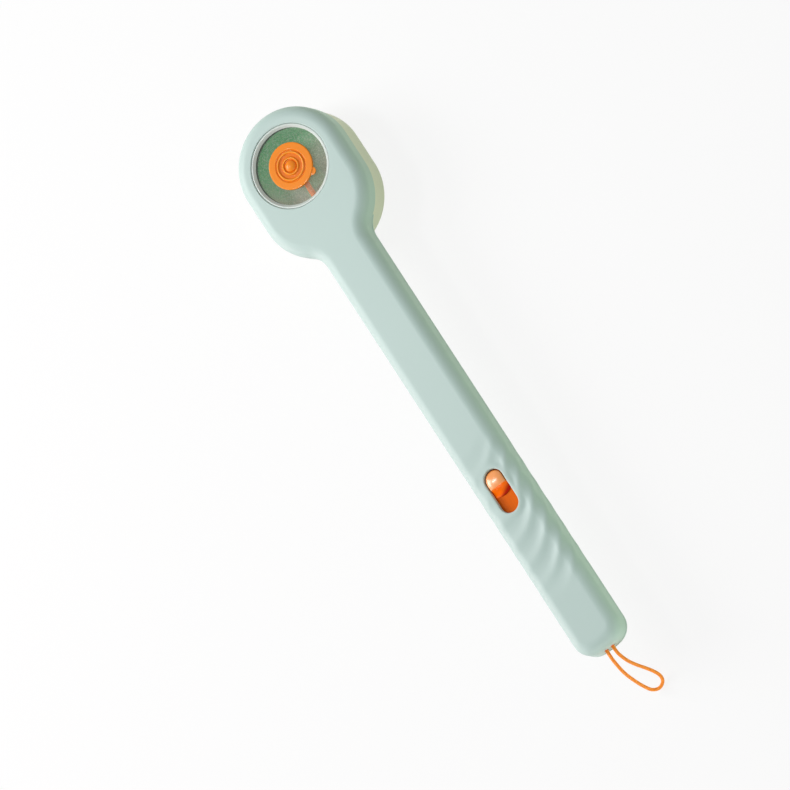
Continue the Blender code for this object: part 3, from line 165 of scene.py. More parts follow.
class BrushWindow(bpy.types.PropertyGroup):
    clear_radius: length("Clear radius", 21.4, "Radius of the clear part of the window")
    bezel_depth: length("Bezel depth", 0.5, "Back face down to the bezel")
    bezel_thickness: length("Bezel thickness", 1.6, "Thickness of the bezel")
    bezel_bevel: length("Bezel bevel", 1.4, "Width of the slope inside the bezel")
    bezel_round: length("Bezel rounding", 0.35, "Radius of the bezel's outer edge")
    filler_radius: length("Filler hole", 9.0, "Radius of the hole in the lens")
    plug_radius: length("Plug radius", 13.3, "Radius of the filler plug")
    plug_thickness: length("Plug thickness", 1.2, "Thickness of the plug's flange")
    dish_radius: length("Dish radius", 9.5, "Radius of the shallow dish in the plug's face")
    dish_depth: length("Dish depth", 0.45, "Depth of the dish")
    inner_ring: length("Inner ring", 4.5, "Radius of the inner ring's crest")
    outer_ring: length("Outer ring", 7.8, "Radius of the outer ring's crest")
    ring_height: length("Ring height", 0.9, "Height of the two rings over the dish")
    dome_radius: length("Dome radius", 3.3, "Radius of the plug's centre dome")
    dome_height: length("Dome height", 1.6, "Height of the dome over the dish")
    tab_angle: number("Tab angle", 41.5, "Direction of the pull tab in degrees")
    tab_distance: length("Tab distance", 13.0, "Plug's centre to the middle of the tab's round end")
    tab_radius: length("Tab radius", 2.4, "Radius of the tab's round end")
    cup_depth: length("Cup depth", 23.0, "Back face down to the cup's floor")


class BrushSlider(bpy.types.PropertyGroup):
    ridge: length("Ridge", 10.1, "Head end of the button's solid to the button's ridge")
    inset: length("Inset", 0.3, "Gap kept inside the button's solid")
    head_drop: length("Head drop", 2.2, "Fall of the pad towards its head end")
    crown: length("Crown", 1.2, "Fall of the pad towards its sides")
    proud: length("Proud", 0.8, "Height of the button over the back face")
    lip: length("Lip", 0.2, "Thickness at the foot of the button's slope")
    tail_radius: length("Foot radius", 10.0, "Radius of the slope's bowed foot")
    rod_radius: length("Rod radius", 1.6, "Radius of the pull rod")


class BrushBristles(bpy.types.PropertyGroup):
    pitch: length("Pitch", 3.2, "Spacing of the bristles")
    root_radius: length("Root radius", 0.8, "Radius at the root")
    tip_radius: length("Tip radius", 0.5, "Radius near the tip")
    lean: number("Lean", 2.0, "Largest lean of a bristle in degrees")
    seed: whole("Seed", 7, "Seed of the bristles' lean")


class BrushCord(bpy.types.PropertyGroup):
    radius: length("Cord radius", 1.0, "Radius of the hanging cord")
    spacing: length("Half spacing", 2.2, "Half the distance between its two ends")
    depth: length("Depth", 9.6, "Back face down to the cord's holes")
    strands: whole("Strands", 3, "Strands that wind each way round the braid")
    turns: number("Turns", 160.0, "Turns of a strand per metre")


class BrushColours(bpy.types.PropertyGroup):
    mint: colour("Mint", (0.525, 0.665, 0.625), "Back face, handle")
    cream: colour("Cream", (0.790, 0.780, 0.640), "Bristle base")
    white: colour("White", (0.790, 0.790, 0.770), "Pieces inside")
    rubber: colour("Rubber", (0.200, 0.220, 0.220), "Seals")
    silicone: colour("White silicone", (0.860, 0.870, 0.820), "Bristles")
    plug: colour("Plug", (0.930, 0.262, 0.006), "Filler plug")
    button: colour("Button", (0.930, 0.150, 0.001), "Slide button")
    # colour of the painted highlight that pales the pad
    button_pad_highlight: colour("Button, pad", (0.960, 0.330, 0.060), "Pad under the thumb")
    # colour of the painted shade at the foot of the button's slope
    button_slope_shade: colour("Button, deep", (0.430, 0.004, 0.001), "Foot of the button's slope")
    plate: colour("Plate", (0.860, 0.146, 0.002), "Plate under the slot")
    cord: colour("Cord", (1.000, 0.270, 0.022), "Hanging cord")
    bezel: colour("Bezel", (0.700, 0.770, 0.730), "Ring round the window")
    lens: colour("Lens", (0.360, 0.480, 0.380), "Mist on the clear lens")
    cup_near: colour("Cup, near side", (0.075, 0.400, 0.150), "Reservoir towards the head's end")
    cup_far: colour("Cup, far side", (0.440, 0.400, 0.340), "Reservoir towards the handle")
    gel: colour("Gel film", (0.330, 0.390, 0.270), "Film on the pieces in the reservoir")
    steel: colour("Steel", (0.560, 0.570, 0.580), "Screws and spring")


class BrushStudio(bpy.types.PropertyGroup):
    distance: length("Camera distance", 18000.0, "Camera to the point it looks at")
    scale: number("Scale", 1814.0, "Pixels for a metre at the target's distance")
    frame_size: number("Frame size", 790.0, "Width of the picture in pixels")
    look_right: length("Look right", 57.99, "Window to the picture's middle, across the picture")
    look_down: length("Look down", 126.35, "Window to the picture's middle, down the picture")
    ambient: number("Ambient", 0.32, "Strength of the even light from all round")
    key_power: number("Key power", 18.0, "Power of the large lamp on the left in watts")
    top_power: number("Top power", 1.1, "Power of the small lamp over the handle in watts")
    rim_power: number("Rim power", 3.0, "Power of the low lamp beside the handle in watts")
    tail_power: number("Tail power", 2.0, "Power of the lamp beyond the tail in watts")
    side_power: number("Side power", 0.28, "Power of the small low lamp right of the tail in watts")
    end_power: number("End power", 0.42, "Power of the small low lamp beyond the tail in watts")
    floor_glow: number("Floor glow", 0.85, "Share of plain white in the floor seen by the camera")


def settings(name):
    return getattr(bpy.context.scene, name)


# Node trees


class Field:
    """A float socket that takes part in arithmetic."""

    def __init__(self, nodes, socket):
        self.nodes = nodes
        self.socket = socket

    def math(self, operation, *others):
        return self.nodes.math(operation, self, *others)

    def __add__(self, other):
        return self.math("ADD", other)

    def __sub__(self, other):
        return self.math("SUBTRACT", other)

    def __rsub__(self, other):
        return self.nodes.math("SUBTRACT", other, self)

    def __mul__(self, other):
        return self.math("MULTIPLY", other)

    def __truediv__(self, other):
        return self.math("DIVIDE", other)

    def __pow__(self, other):
        return self.math("POWER", other)

    def __neg__(self):
        return self.math("MULTIPLY", -1.0)

    def __abs__(self):
        return self.math("ABSOLUTE")

    __radd__ = __add__
    __rmul__ = __mul__

    def smooth(self, low, high):
        """0 below low, 1 above high, with a soft start and end."""
        options = {"interpolation_type": "SMOOTHSTEP"}
        inputs = {"Value": self, "From Min": low, "From Max": high}
        return self.nodes.add("ShaderNodeMapRange", options, inputs)


class Nodes:
    """One node tree, with one method that adds any node."""

    def __init__(self, tree):
        self.tree = tree
        tree.nodes.clear()

    def feed(self, socket, value):
        if isinstance(value, Field):
            self.tree.links.new(value.socket, socket)
        else:
            socket.default_value = value

    def add(self, kind, options=None, inputs=None, output=0):
        """Node of a kind: its settings first, then its sockets, found by name or place."""
        node = self.tree.nodes.new(kind)
        for name, value in (options or {}).items():
            setattr(node, name, value)
        open_inputs = [s for s in node.inputs if s.enabled]
        for name, value in (inputs or {}).items():
            if isinstance(name, int):
                socket = open_inputs[name]
            else:
                socket = next(s for s in open_inputs if s.name == name)
            self.feed(socket, value)
        open_outputs = [s for s in node.outputs if s.enabled]
        if not open_outputs:
            return None
        if isinstance(output, int):
            return Field(self, open_outputs[output])
        return Field(self, next(s for s in open_outputs if s.name == output))

    def math(self, operation, *values):
        return self.add("ShaderNodeMath", {"operation": operation}, dict(enumerate(values)))

    def vector_math(self, operation, inputs):
        return self.add("ShaderNodeVectorMath", {"operation": operation}, inputs)

    def axes(self, vector):
        """The X, Y and Z of a vector, from one Separate XYZ node."""
        x = self.add("ShaderNodeSeparateXYZ", None, {"Vector": vector})
        outputs = x.socket.node.outputs
        return x, Field(self, outputs["Y"]), Field(self, outputs["Z"])

    def joined(self, x, y, z):
        return self.add("ShaderNodeCombineXYZ", None, {"X": x, "Y": y, "Z": z})

    def mixed(self, factor, first, second):
        inputs = {"Factor": factor, "A": first, "B": second}
        return self.add("ShaderNodeMix", {"data_type": "RGBA"}, inputs)

    def stored(self, name, kind="FLOAT"):
        return self.add("GeometryNodeInputNamedAttribute", {"data_type": kind}, {"Name": name})


# Finishes


BLACK = (0, 0, 0, 1)
RESERVOIR_PAINTED_GLOW = 0.25  # strength of the painted glow on the reservoir and on what lies in it
FINISHES = {}


def opaque(paint, *factors):
    """A paint with alpha 1, times one factor or times one for each part."""
    if len(factors) < 3:
        factors = (factors or (1.0,)) * 3
    return tuple(min(c * f, 1.0) for c, f in zip(paint, factors)) + (1.0,)


class Shader(Nodes):
    """Material with one Principled shader."""

    def __init__(self, name, paint, roughness, **fixed):
        self.result = bpy.data.materials.new(name + "_finish")
        self.result.use_nodes = True
        FINISHES[name] = self.result
        super().__init__(self.result.node_tree)
        self.paint = opaque(paint)
        self.result.diffuse_color = self.paint
        inputs = {"Base Color": self.paint, "Roughness": roughness}
        inputs.update({name.replace("_", " "): value for name, value in fixed.items()})
        surface = self.add("ShaderNodeBsdfPrincipled", None, inputs)
        self.principled = surface.socket.node
        self.add("ShaderNodeOutputMaterial", None, {"Surface": surface})
        self.place = self.add("ShaderNodeTexCoord", None, None, "Object")

    def noise(self, scale, detail=2.0, vector=None, roughness=0.5):
        inputs = {"Vector": vector or self.place, "Scale": scale}
        inputs.update({"Detail": detail, "Roughness": roughness})
        return self.add("ShaderNodeTexNoise", None, inputs, "Fac")

    def stretched(self, x, y, z):
        """Object coordinates scaled apart, for streaks and brushing."""
        return self.vector_math("MULTIPLY", {0: self.place, 1: (x, y, z)})

    def from_window(self):
        """Distance from the window's axis, and Z."""
        x, y, z = self.axes(self.place)
        x = x - FAR_X
        return (x * x + y * y).math("SQRT"), z

    def tinted(self, factor, low, high):
        """The paint between a darker and a lighter tone."""
        return self.mixed(factor, opaque(self.paint[:3], low), opaque(self.paint[:3], high))

    def connect(self, name, value):
        self.feed(self.principled.inputs[name], value)

    def bump(self, height, strength, distance):
        inputs = {"Strength": strength, "Distance": distance, "Height": height}
        self.connect("Normal", self.add("ShaderNodeBump", None, inputs))


def moulded_plastic(name, paint, roughness, grain, **fixed):
    """Satin moulded plastic: slow tone drift, fine spark grain and a soft surface wave."""
    shader = Shader(name, paint, roughness, **fixed)
    drift = shader.noise(26.0, 3.0)
    speck = shader.noise(2600.0, 1.0)
    shader.tone = shader.tinted(drift * 0.8 + speck * 0.2, 0.965, 1.03)
    shader.connect("Base Color", shader.tone)
    shader.connect("Roughness", roughness - 0.05 + drift * 0.06 + speck * 0.05)
    shader.bump(speck * 0.7 + shader.noise(700.0, 2.0) * 0.3, grain, 0.12 * MM)
    return shader


def in_reservoir(shader):
    """1 inside the reservoir's clear radius, 0 outside it."""
    radius = settings("brush_window").clear_radius
    return 1 - shader.from_window()[0].smooth(radius, radius + MM)


def filmed_plastic(paint, film):
    """White plastic of the inner pieces, with a film of gel and a painted glow on what lies in the
    reservoir.
    """
    shader = moulded_plastic("white_plastic", paint, 0.45, 0.12, Emission_Strength=RESERVOIR_PAINTED_GLOW)
    inside = in_reservoir(shader)
    cloud = shader.noise(170.0, 4.0, roughness=0.7)
    gel = shader.mixed(cloud, opaque(film), opaque(film, 1.2))
    shader.connect("Base Color", shader.mixed(inside * 0.9, shader.tone, gel))
    # painted glow: the gel film's colour is given out as light inside the reservoir
    shader.connect("Emission Color", shader.mixed(inside, BLACK, gel))


def soft_rubber(name, paint, roughness, **fixed):
    """Silicone or rubber: matte skin with dust-fine pores and faint darker clouds."""
    shader = Shader(name, paint, roughness, **fixed)
    cloud = shader.noise(90.0, 4.0)
    pore = shader.noise(3800.0, 1.0)
    shader.tone = shader.tinted(cloud, 0.94, 1.04)
    shader.connect("Base Color", shader.tone)
    shader.connect("Roughness", roughness - 0.06 + cloud * 0.08 + pore * 0.04)
    shader.bump(pore, 0.10, 0.08 * MM)
    return shader


def plug_silicone(paint):
    """Plug's and nozzle's silicone, with painted shade in the dish's troughs and painted highlights
    on its rings.
    """
    fixed = {"Specular_IOR_Level": 0.1, "Coat_Weight": 0.4, "Coat_Roughness": 0.12}
    shader = soft_rubber("orange_silicone", paint, 0.42, **fixed)
    window = settings("brush_window")
    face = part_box("filler_plug")[0].z + PLUG_SEAT + window.plug_thickness
    radius, z = shader.from_window()
    relief = 0.45 * MM  # how far the dish sinks under the face and its rings rise over it
    dish = 1 - radius.smooth(window.dish_radius, window.dish_radius + 0.4 * MM)
    # painted shade: darker in the dish's troughs
    trough_shade = dish * (1 - z.smooth(face - relief, face)) * z.smooth(face - 2 * MM, face - MM)
    rings = radius.smooth(window.dome_radius, window.dome_radius + 0.3 * MM)
    # painted highlight on the rings' crests, left off the dome
    crest = z.smooth(face + 0.1 * MM, face + relief) * rings
    crest_highlight = (1.0, min(paint[1] * 2.0, 1.0), paint[2] + 0.08, 1.0)
    tone = shader.mixed(trough_shade * 0.8, shader.tone, opaque(paint, 0.84, 0.66, 0.2))
    shader.connect("Base Color", shader.mixed(crest * 0.7, tone, crest_highlight))


def gloss_plastic(name, paint, **fixed):
    """Polished plastic: a clear top layer, hair-fine scuffs and slow depth of colour."""
    shader = Shader(name, paint, 0.2, **fixed)
    depth = shader.noise(140.0, 2.0)
    scuff = shader.noise(1.0, 3.0, shader.stretched(420.0, 2600.0, 420.0))
    shader.tone = shader.tinted(depth, 0.9, 1.06)
    shader.connect("Base Color", shader.tone)
    shader.connect("Roughness", 0.16 + scuff * 0.1)
    shader.bump(scuff * 0.5 + depth * 0.5, 0.03, 0.1 * MM)
    return shader


def slider_gloss(paint, pad, deep):
    """Button's polished plastic: a painted highlight makes the pad paler, painted shade turns the
    slope deep red towards its foot, and a painted glow lights the rest of the slope.
    """
    fixed = {"Specular_IOR_Level": 0.1, "Coat_IOR": 1.8, "Coat_Roughness": 0.25}
    shader = gloss_plastic("orange_gloss", paint, Emission_Strength=0.4, **fixed)
    x, y, _ = shader.axes(shader.place)
    ridge = BUTTON_LOW.x + settings("brush_slider").ridge
    blur, skew, shade_start, shade_end = 0.4 * MM, 0.45, 2.0 * MM, 5.4 * MM
    slope = x.smooth(ridge - blur, ridge + blur)
    # share of painted shade on the slope, growing towards its foot and its +Y side
    far = (x - ridge + y * skew).smooth(shade_start, shade_end)
    # painted highlight: the pad's paler colour stands in for a lamp's broad reflection
    painted_pad_highlight = shader.mixed(1 - slope, shader.tone, opaque(pad))
    # painted shade: the slope turns deep red where it faces away from the lamps
    shader.connect("Base Color", shader.mixed(slope * far * 0.95, painted_pad_highlight, opaque(deep)))
    shader.connect("Coat Weight", 1 - slope)
    shader.connect("Roughness", 0.21 + slope * far * 0.6)
    # painted glow: the slope away from its shaded foot gives out its own colour as light
    shader.connect("Emission Color", shader.mixed(slope * (1 - far), BLACK, opaque(paint)))


def satin_plate(paint):
    """Orange plate and rod: flow streaks along the handle, and a painted glow on the rod inside the
    reservoir.
    """
    fixed = {"Specular_IOR_Level": 0.06, "Emission_Strength": RESERVOIR_PAINTED_GLOW}
    shader = Shader("orange_plate", paint, 0.38, **fixed)
    # painted glow: the rod gives out a pale orange light inside the reservoir
    painted_glow = shader.mixed(in_reservoir(shader), BLACK, (1.0, 0.45, 0.25, 1))
    shader.connect("Emission Color", painted_glow)
    streak = shader.noise(1.0, 3.0, shader.stretched(60.0, 900.0, 900.0))
    shader.connect("Base Color", shader.tinted(streak, 0.9, 1.12))
    shader.connect("Roughness", 0.32 + streak * 0.14)
    shader.bump(streak * 0.5 + shader.noise(2400.0, 1.0) * 0.5, 0.08, 0.1 * MM)


def clear_lens(paint):
    """Clear plastic that lets most of what is under it through, with a mist of gel."""
    shader = Shader("clear_plastic", paint, 0.06, Specular_IOR_Level=0.5)
    shader.connect("Roughness", 0.04 + shader.noise(60.0, 2.0) * 0.05)
    mist = shader.noise(1200.0, 3.0, roughness=0.7)
    shader.connect("Alpha", 0.07 + mist.smooth(0.4, 0.62) * 0.2)
    shader.result.surface_render_method = "BLENDED"


def frosted_cup(near, far, half):
    """Reservoir: green on one side and grey on the other, with the mottle of residual gel and a
    painted glow of its own colour.
    """
    shader = Shader("frosted_plastic", far, 0.42, Emission_Strength=RESERVOIR_PAINTED_GLOW)
    x, y, _ = shader.axes(shader.place)
    cloud = shader.noise(170.0, 4.0, roughness=0.7)
    along, across, ragged = 0.94, 0.34, 0.012  # direction of the change, and its unevenness
    side = (x - FAR_X) * along + y * across + (cloud - 0.5) * ragged
    tone = shader.mixed(side.smooth(-0.9 * half, 0.45 * half), opaque(near), opaque(far))
    mottle = shader.noise(800.0, 3.0, roughness=0.75)
    light = opaque([1.5 * c + 0.03 for c in far])
    tone = shader.mixed(mottle.smooth(0.46, 0.62) * 0.4, tone, light)
    shader.connect("Base Color", tone)
    # painted glow: the cup gives out its own colour as light
    shader.connect("Emission Color", tone)
    shader.connect("Roughness", 0.34 + mottle * 0.2)
    shader.bump(mottle, 0.18, 0.2 * MM)


def bristle_silicone(paint, low, high):
    """White silicone with a painted glow in place of light passing through it; it pales towards the
    tips.
    """
    shader = soft_rubber("white_silicone", paint, 0.5, Emission_Strength=0.2)
    height = shader.axes(shader.place)[2].smooth(low, high)
    cloud = shader.noise(240.0, 3.0)
    tip, root = opaque(paint, 1.06), opaque(paint, 0.86, 0.88, 0.84)
    tone = shader.mixed(height * 0.8 + cloud * 0.2, tip, root)
    shader.connect("Base Color", tone)
    # painted glow: the bristles give out their own colour as light
    shader.connect("Emission Color", tone)
    shader.connect("Roughness", 0.58 - height * 0.14)


def braided_thread(paint, strands, turns):
    """Braid from the cord's own UV map: two sets of strands that cross, with a painted glow of the
    weave's colour.
    """
    shader = Shader("orange_cord", paint, 0.62, Sheen_Weight=0.1, Emission_Strength=0.16)
    around, along, _ = shader.axes(shader.add("ShaderNodeUVMap", {"uv_map": "cord"}))
    turn = along * turns
    left = (around * strands + turn) * (2 * math.pi)
    right = (around * strands - turn) * (2 * math.pi)
    one = left.math("SINE") * 0.5 + 0.5
    two = right.math("SINE") * 0.5 + 0.5
    over = ((left + right) * 0.5).math("SINE").smooth(-0.3, 0.3)
    weave = one * over + two * (1 - over)
    relief = weave * 0.8 + shader.noise(5200.0, 2.0) * 0.2
    tone = shader.tinted(relief, 0.82, 1.15)
    shader.connect("Base Color", tone)
    # painted glow: the cord gives out its weave's colour as light
    shader.connect("Emission Color", tone)
    shader.connect("Roughness", 0.72 - weave * 0.16)
    shader.bump(relief, 0.3, 0.3 * MM)


def brushed_steel(paint):
    shader = Shader("steel", paint, 0.3, Metallic=1.0)
    line = shader.noise(1.0, 3.0, shader.stretched(300.0, 4000.0, 300.0))
    shader.connect("Base Color", shader.tinted(line, 0.85, 1.1))
    shader.connect("Roughness", 0.24 + line * 0.18)
    shader.bump(line, 0.08, 0.1 * MM)


def make_finishes():
    paint, cord = settings("brush_colours"), settings("brush_cord")
    moulded_plastic("mint_plastic", paint.mint, 0.42, 0.10, Specular_IOR_Level=0.35)
    moulded_plastic("cream_plastic", paint.cream, 0.46, 0.12)
    filmed_plastic(paint.white, paint.gel)
    plug_silicone(paint.plug)
    soft_rubber("grey_rubber", paint.rubber, 0.7)
    slider_gloss(paint.button, paint.button_pad_highlight, paint.button_slope_shade)
    gloss_plastic("light_plastic", paint.bezel, Specular_IOR_Level=0.3)
    satin_plate(paint.plate)
    clear_lens(paint.lens)
    frosted_cup(paint.cup_near, paint.cup_far, settings("brush_window").clear_radius)
    bristle_silicone(paint.silicone, 0.0, FACE_Z - HEAD_DEPTH)
    braided_thread(paint.cord, cord.strands, cord.turns)
    brushed_steel(paint.steel)


# Meshes


def depth_z(depth):
    """Height of a level that lies this far under the back face."""
    return FACE_Z - depth


def finished(name, maker, finish=None, body=None, sharp=32.0):
    """Object from a bmesh: doubles merged, faces outwards, and settled if it has a body."""
    bmesh.ops.remove_doubles(maker, verts=maker.verts, dist=2e-7)
    bmesh.ops.recalc_face_normals(maker, faces=maker.faces)
    mesh = bpy.data.meshes.new(name)
    maker.to_mesh(mesh)
    maker.free()
    piece = bpy.data.objects.new(name, mesh)
    bpy.context.scene.collection.objects.link(piece)
    if finish:
        mesh.materials.append(FINISHES[finish])
    if body:
        settle(piece, body, sharp)
    return piece


def settle(piece, body, sharp=32.0):
    """Smooth shading with crisp edges, and the piece's place in the frame."""
    piece.data.shade_smooth()
    piece.data.set_sharp_from_angle(angle=math.radians(sharp))
    weighted = piece.modifiers.new("even shading", "WEIGHTED_NORMAL")
    weighted.keep_sharp = True
    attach(piece, body)
    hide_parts(piece.name.removesuffix("_piece"))


def skinned(rows, closed=False, caps=True):
    """Bmesh through rows of points that each go round once."""
    maker = bmesh.new()
    lines = [[maker.verts.new(point) for point in row] for row in rows]
    pairs = list(zip(lines, lines[1:]))
    if closed:
        pairs.append((lines[-1], lines[0]))
    for pair in pairs:
        ring(maker, *pair)
    if caps and not closed:
        maker.faces.new(lines[0])
        maker.faces.new(list(reversed(lines[-1])))
    return maker


def ring(maker, upper, lower):
    """Faces between two rows that go round; they are returned in order."""
    faces = []
    for k in range(len(upper)):
        n = (k + 1) % len(upper)
        faces.append(maker.faces.new((upper[k], upper[n], lower[n], lower[k])))
    return faces


def strip(maker, near, far):
    """Faces between two rows that don't close."""
    for k in range(len(near) - 1):
        maker.faces.new((near[k], near[k + 1], far[k + 1], far[k]))


def turned(outline, centre, segments, axis="Z"):
    """Revolve (radius, place) pairs; an outline with both ends on the axis closes there."""
    on_axis = outline[0][0] == 0.0 and outline[-1][0] == 0.0
    rows = []
    for radius, place in outline:
        row = []
        for k in range(segments):
            a = 2 * math.pi * k / segments
            across = centre[0] + radius * math.cos(a), centre[1] + radius * math.sin(a)
            row.append((*across, place) if axis == "Z" else (place, *across))
        rows.append(row)
    return skinned(rows, closed=not on_axis, caps=False)


def cylinder(radius, start, end):
    """Outline to revolve, of a plain cylinder."""
    return [(0.0, start), (radius, start), (radius, end), (0.0, end)]


def stepped(start, wide, ledge, narrow, end):
    """Outline to revolve, of a cylinder that narrows at a ledge."""
    return cylinder(wide, start, ledge)[:3] + cylinder(narrow, ledge, end)[1:]


def softened(corners, steps=4, closed=True):
    """Outline with rounded corners; each corner is (a, b) or (a, b, radius)."""
    result = []
    last = len(corners) - 1
    for k, corner in enumerate(corners):
        if len(corner) == 2 or not closed and k in (0, last):
            result.append(corner[:2])
            continue
        radius = corner[2]
        here = Vector(corner[:2])
        back = (Vector(corners[k - 1][:2]) - here).normalized()
        ahead = (Vector(corners[(k + 1) % len(corners)][:2]) - here).normalized()
        half = back.angle(ahead) / 2
        centre = here + (back + ahead).normalized() * radius / math.sin(half)
        start = here + back * radius / math.tan(half) - centre
        end = here + ahead * radius / math.tan(half) - centre
        sweep = math.pi - 2 * half
        for step in range(steps + 1):
            t = step / steps
            near, far = math.sin((1 - t) * sweep), math.sin(t * sweep)
            result.append(tuple(centre + (start * near + end * far) / math.sin(sweep)))
    return result


def quarter(radius, steps, start=0):
    """(angle, inset, drop) on a rounded edge, from its top to its side."""
    angles = [SIDE * k / steps for k in range(start, steps + 1)]
    return [(a, radius * (1 - math.sin(a)), radius * (1 - math.cos(a))) for a in angles]


def cutter(target, name, maker, operation="DIFFERENCE"):
    """Boolean with a helper that stays out of the model."""
    tool = finished(name, maker)
    modifier = target.modifiers.new(name, "BOOLEAN")
    modifier.operation = operation
    modifier.solver = "EXACT"
    modifier.object = tool
    return tool


def baked(piece, tools=()):
    """Plain mesh of what the modifiers give; they and their helpers are removed."""
    graph = bpy.context.evaluated_depsgraph_get()
    mesh = bpy.data.meshes.new_from_object(piece.evaluated_get(graph), depsgraph=graph)
    mesh.name = piece.name
    piece.modifiers.clear()
    piece.data = mesh
    for name in ("girth", "share", "outward", "foot"):
        layer = mesh.attributes.get(name)
        if layer:
            mesh.attributes.remove(layer)
    for tool in tools:
        bpy.data.objects.remove(tool)


def group_tree(name, values):
    """Geometry node tree with an input for each value: nodes, sockets, geometry, inputs."""
    tree = bpy.data.node_groups.new(name, "GeometryNodeTree")
    nodes = Nodes(tree)
    for way in ("INPUT", "OUTPUT"):
        tree.interface.new_socket("Geometry", in_out=way, socket_type="NodeSocketGeometry")
    sockets = {}
    for key, value in values.items():
        kind = "NodeSocketInt" if isinstance(value, int) else "NodeSocketFloat"
        socket = tree.interface.new_socket(key, in_out="INPUT", socket_type=kind)
        sockets[key] = socket.identifier
    geometry = nodes.add("NodeGroupInput")
    outputs = geometry.socket.node.outputs
    return nodes, sockets, geometry, {key: Field(nodes, outputs[key]) for key in values}


def end_tree(nodes, geometry, finish):
    inputs = {"Geometry": geometry, "Material": FINISHES[finish]}
    painted = nodes.add("GeometryNodeSetMaterial", None, inputs)
    nodes.add("NodeGroupOutput", None, {"Geometry": painted})


def run_tree(piece, nodes, sockets, values):
    modifier = piece.modifiers.new(nodes.tree.name, "NODES")
    modifier.node_group = nodes.tree
    for key, value in values.items():
        modifier[sockets[key]] = value


# Outlines seen from above: each point is (x, y, normal x, normal y)


def arc(cx, cy, radius, start, end, step, inward=False):
    count = max(3, math.ceil(radius * math.radians(abs(end - start)) / step))
    sign = -1.0 if inward else 1.0
    points = []
    for k in range(count + 1):
        a = math.radians(start + (end - start) * k / count)
        c, s = math.cos(a), math.sin(a)
        points.append((cx + radius * c, cy + radius * s, sign * c, sign * s))
    return points


def mirrored(half):
    return half + [(x, -y, nx, -ny) for x, y, nx, ny in reversed(half[1:-1])]


def brush_half_outline(body, stations):
    """Head arcs, neck fillet, handle side and tail corner, from head to tail along +Y."""
    step = body.mesh_step
    width, neck = body.handle_half_width, body.neck_radius
    near_x = FAR_X + body.head_stretch
    reach = math.sqrt((HEAD_RADIUS + neck) ** 2 - (width + neck) ** 2)
    turn = math.degrees(math.atan2(width + neck, reach))
    corner_y = width - body.tail_corner
    end_x = TAIL_X - body.tail_end
    corner_reach = math.sqrt((body.tail_end - body.tail_corner) ** 2 - corner_y**2)
    bend = math.degrees(math.atan2(corner_y, corner_reach))
    half = arc(FAR_X, 0, HEAD_RADIUS, 180, 90, step)
    half += arc(near_x, 0, HEAD_RADIUS, 90, turn, step)
    half += arc(near_x + reach, width + neck, neck, 180 + turn, 270, step, True)[1:]
    half += [(x, width, 0.0, 1.0) for x in stations]
    half += arc(end_x + corner_reach, corner_y, body.tail_corner, 90, bend, step)
    half += arc(end_x, 0, body.tail_end, bend, 0, step)[1:]
    return half


def stadium(half_width, start, stretch, step):
    half = arc(start, 0, half_width, 180, 90, step)
    half += arc(start + stretch, 0, half_width, 90, 0, step)
    return mirrored(half)


def box_stadium(low, high):
    """Stadium that fills a box seen from above."""
    half = (high.y - low.y) / 2
    return stadium(half, low.x + half, high.x - low.x - 2 * half, 0.9 * MM)


def inset_row(outline, inset, z):
    return [(x - nx * inset, y - ny * inset, z) for x, y, nx, ny in outline]


def rounded_cutter_levels(radius, deep):
    """(outset, depth) pairs that leave a rounded edge round an opening."""
    levels = [(0.0, deep), (0.0, radius)]
    steep, steps = math.radians(72), 6
    for k in range(1, steps + 1):
        a = steep * k / steps
        levels.append((radius * (1 - math.cos(a)), radius * (1 - math.sin(a))))
    reach = 4 * radius
    outset, depth = levels[-1]
    levels.append((outset + reach * math.sin(steep), depth - reach * math.cos(steep)))
    return levels


# Shells with the waved grip


class Skin:
    """Shell mesh whose points know their way round the section and how far they may move."""

    def __init__(self, outline):
        self.outline = outline
        self.maker = bmesh.new()
        layers = self.maker.verts.layers
        self.girth = layers.float.new("girth")
        self.share = layers.float.new("share")
        self.outward = layers.float_vector.new("outward")
        self.rows = []

    def point(self, place, outward, girth, share):
        vert = self.maker.verts.new(place)
        vert[self.outward] = outward
        vert[self.girth] = girth
        vert[self.share] = share
        return vert

    def add_row(self, inset, depth, angle, girth=0.0, share=0.0):
        """Row at a depth, whose skin faces the angle and moves by a share of the waves."""
        s, c = math.sin(angle), math.cos(angle)
        row = []
        for x, y, nx, ny in self.outline:
            place = (x - nx * inset, y - ny * inset, depth_z(depth))
            row.append(self.point(place, (nx * s, ny * s, c), math.copysign(girth, y), share))
        self.rows.append(row)

    def join_rows(self):
        for upper, lower in zip(self.rows, self.rows[1:]):
            ring(self.maker, upper, lower)

    def fill_face(self, first, last, columns):
        """Back face: rows of quads along the grip, one flat face at either end."""
        top = self.rows[0]
        count = len(top)
        lines = []
        for k in range(first, last + 1):
            left, right = top[k], top[(count - k) % count]
            line = [left]
            for c in range(1, columns):
                y = left.co.y + (right.co.y - left.co.y) * c / columns
                line.append(self.point((left.co.x, y, left.co.z), (0, 0, 1), y, 1.0))
            lines.append(line + [right])
        for near, far in zip(lines, lines[1:]):
            strip(self.maker, near, far)
        head = [top[k % count] for k in range(count - first + 1, count + first)]
        self.maker.faces.new(lines[0] + head)
        self.maker.faces.new(list(reversed(lines[-1])) + top[last + 1 : count - last])


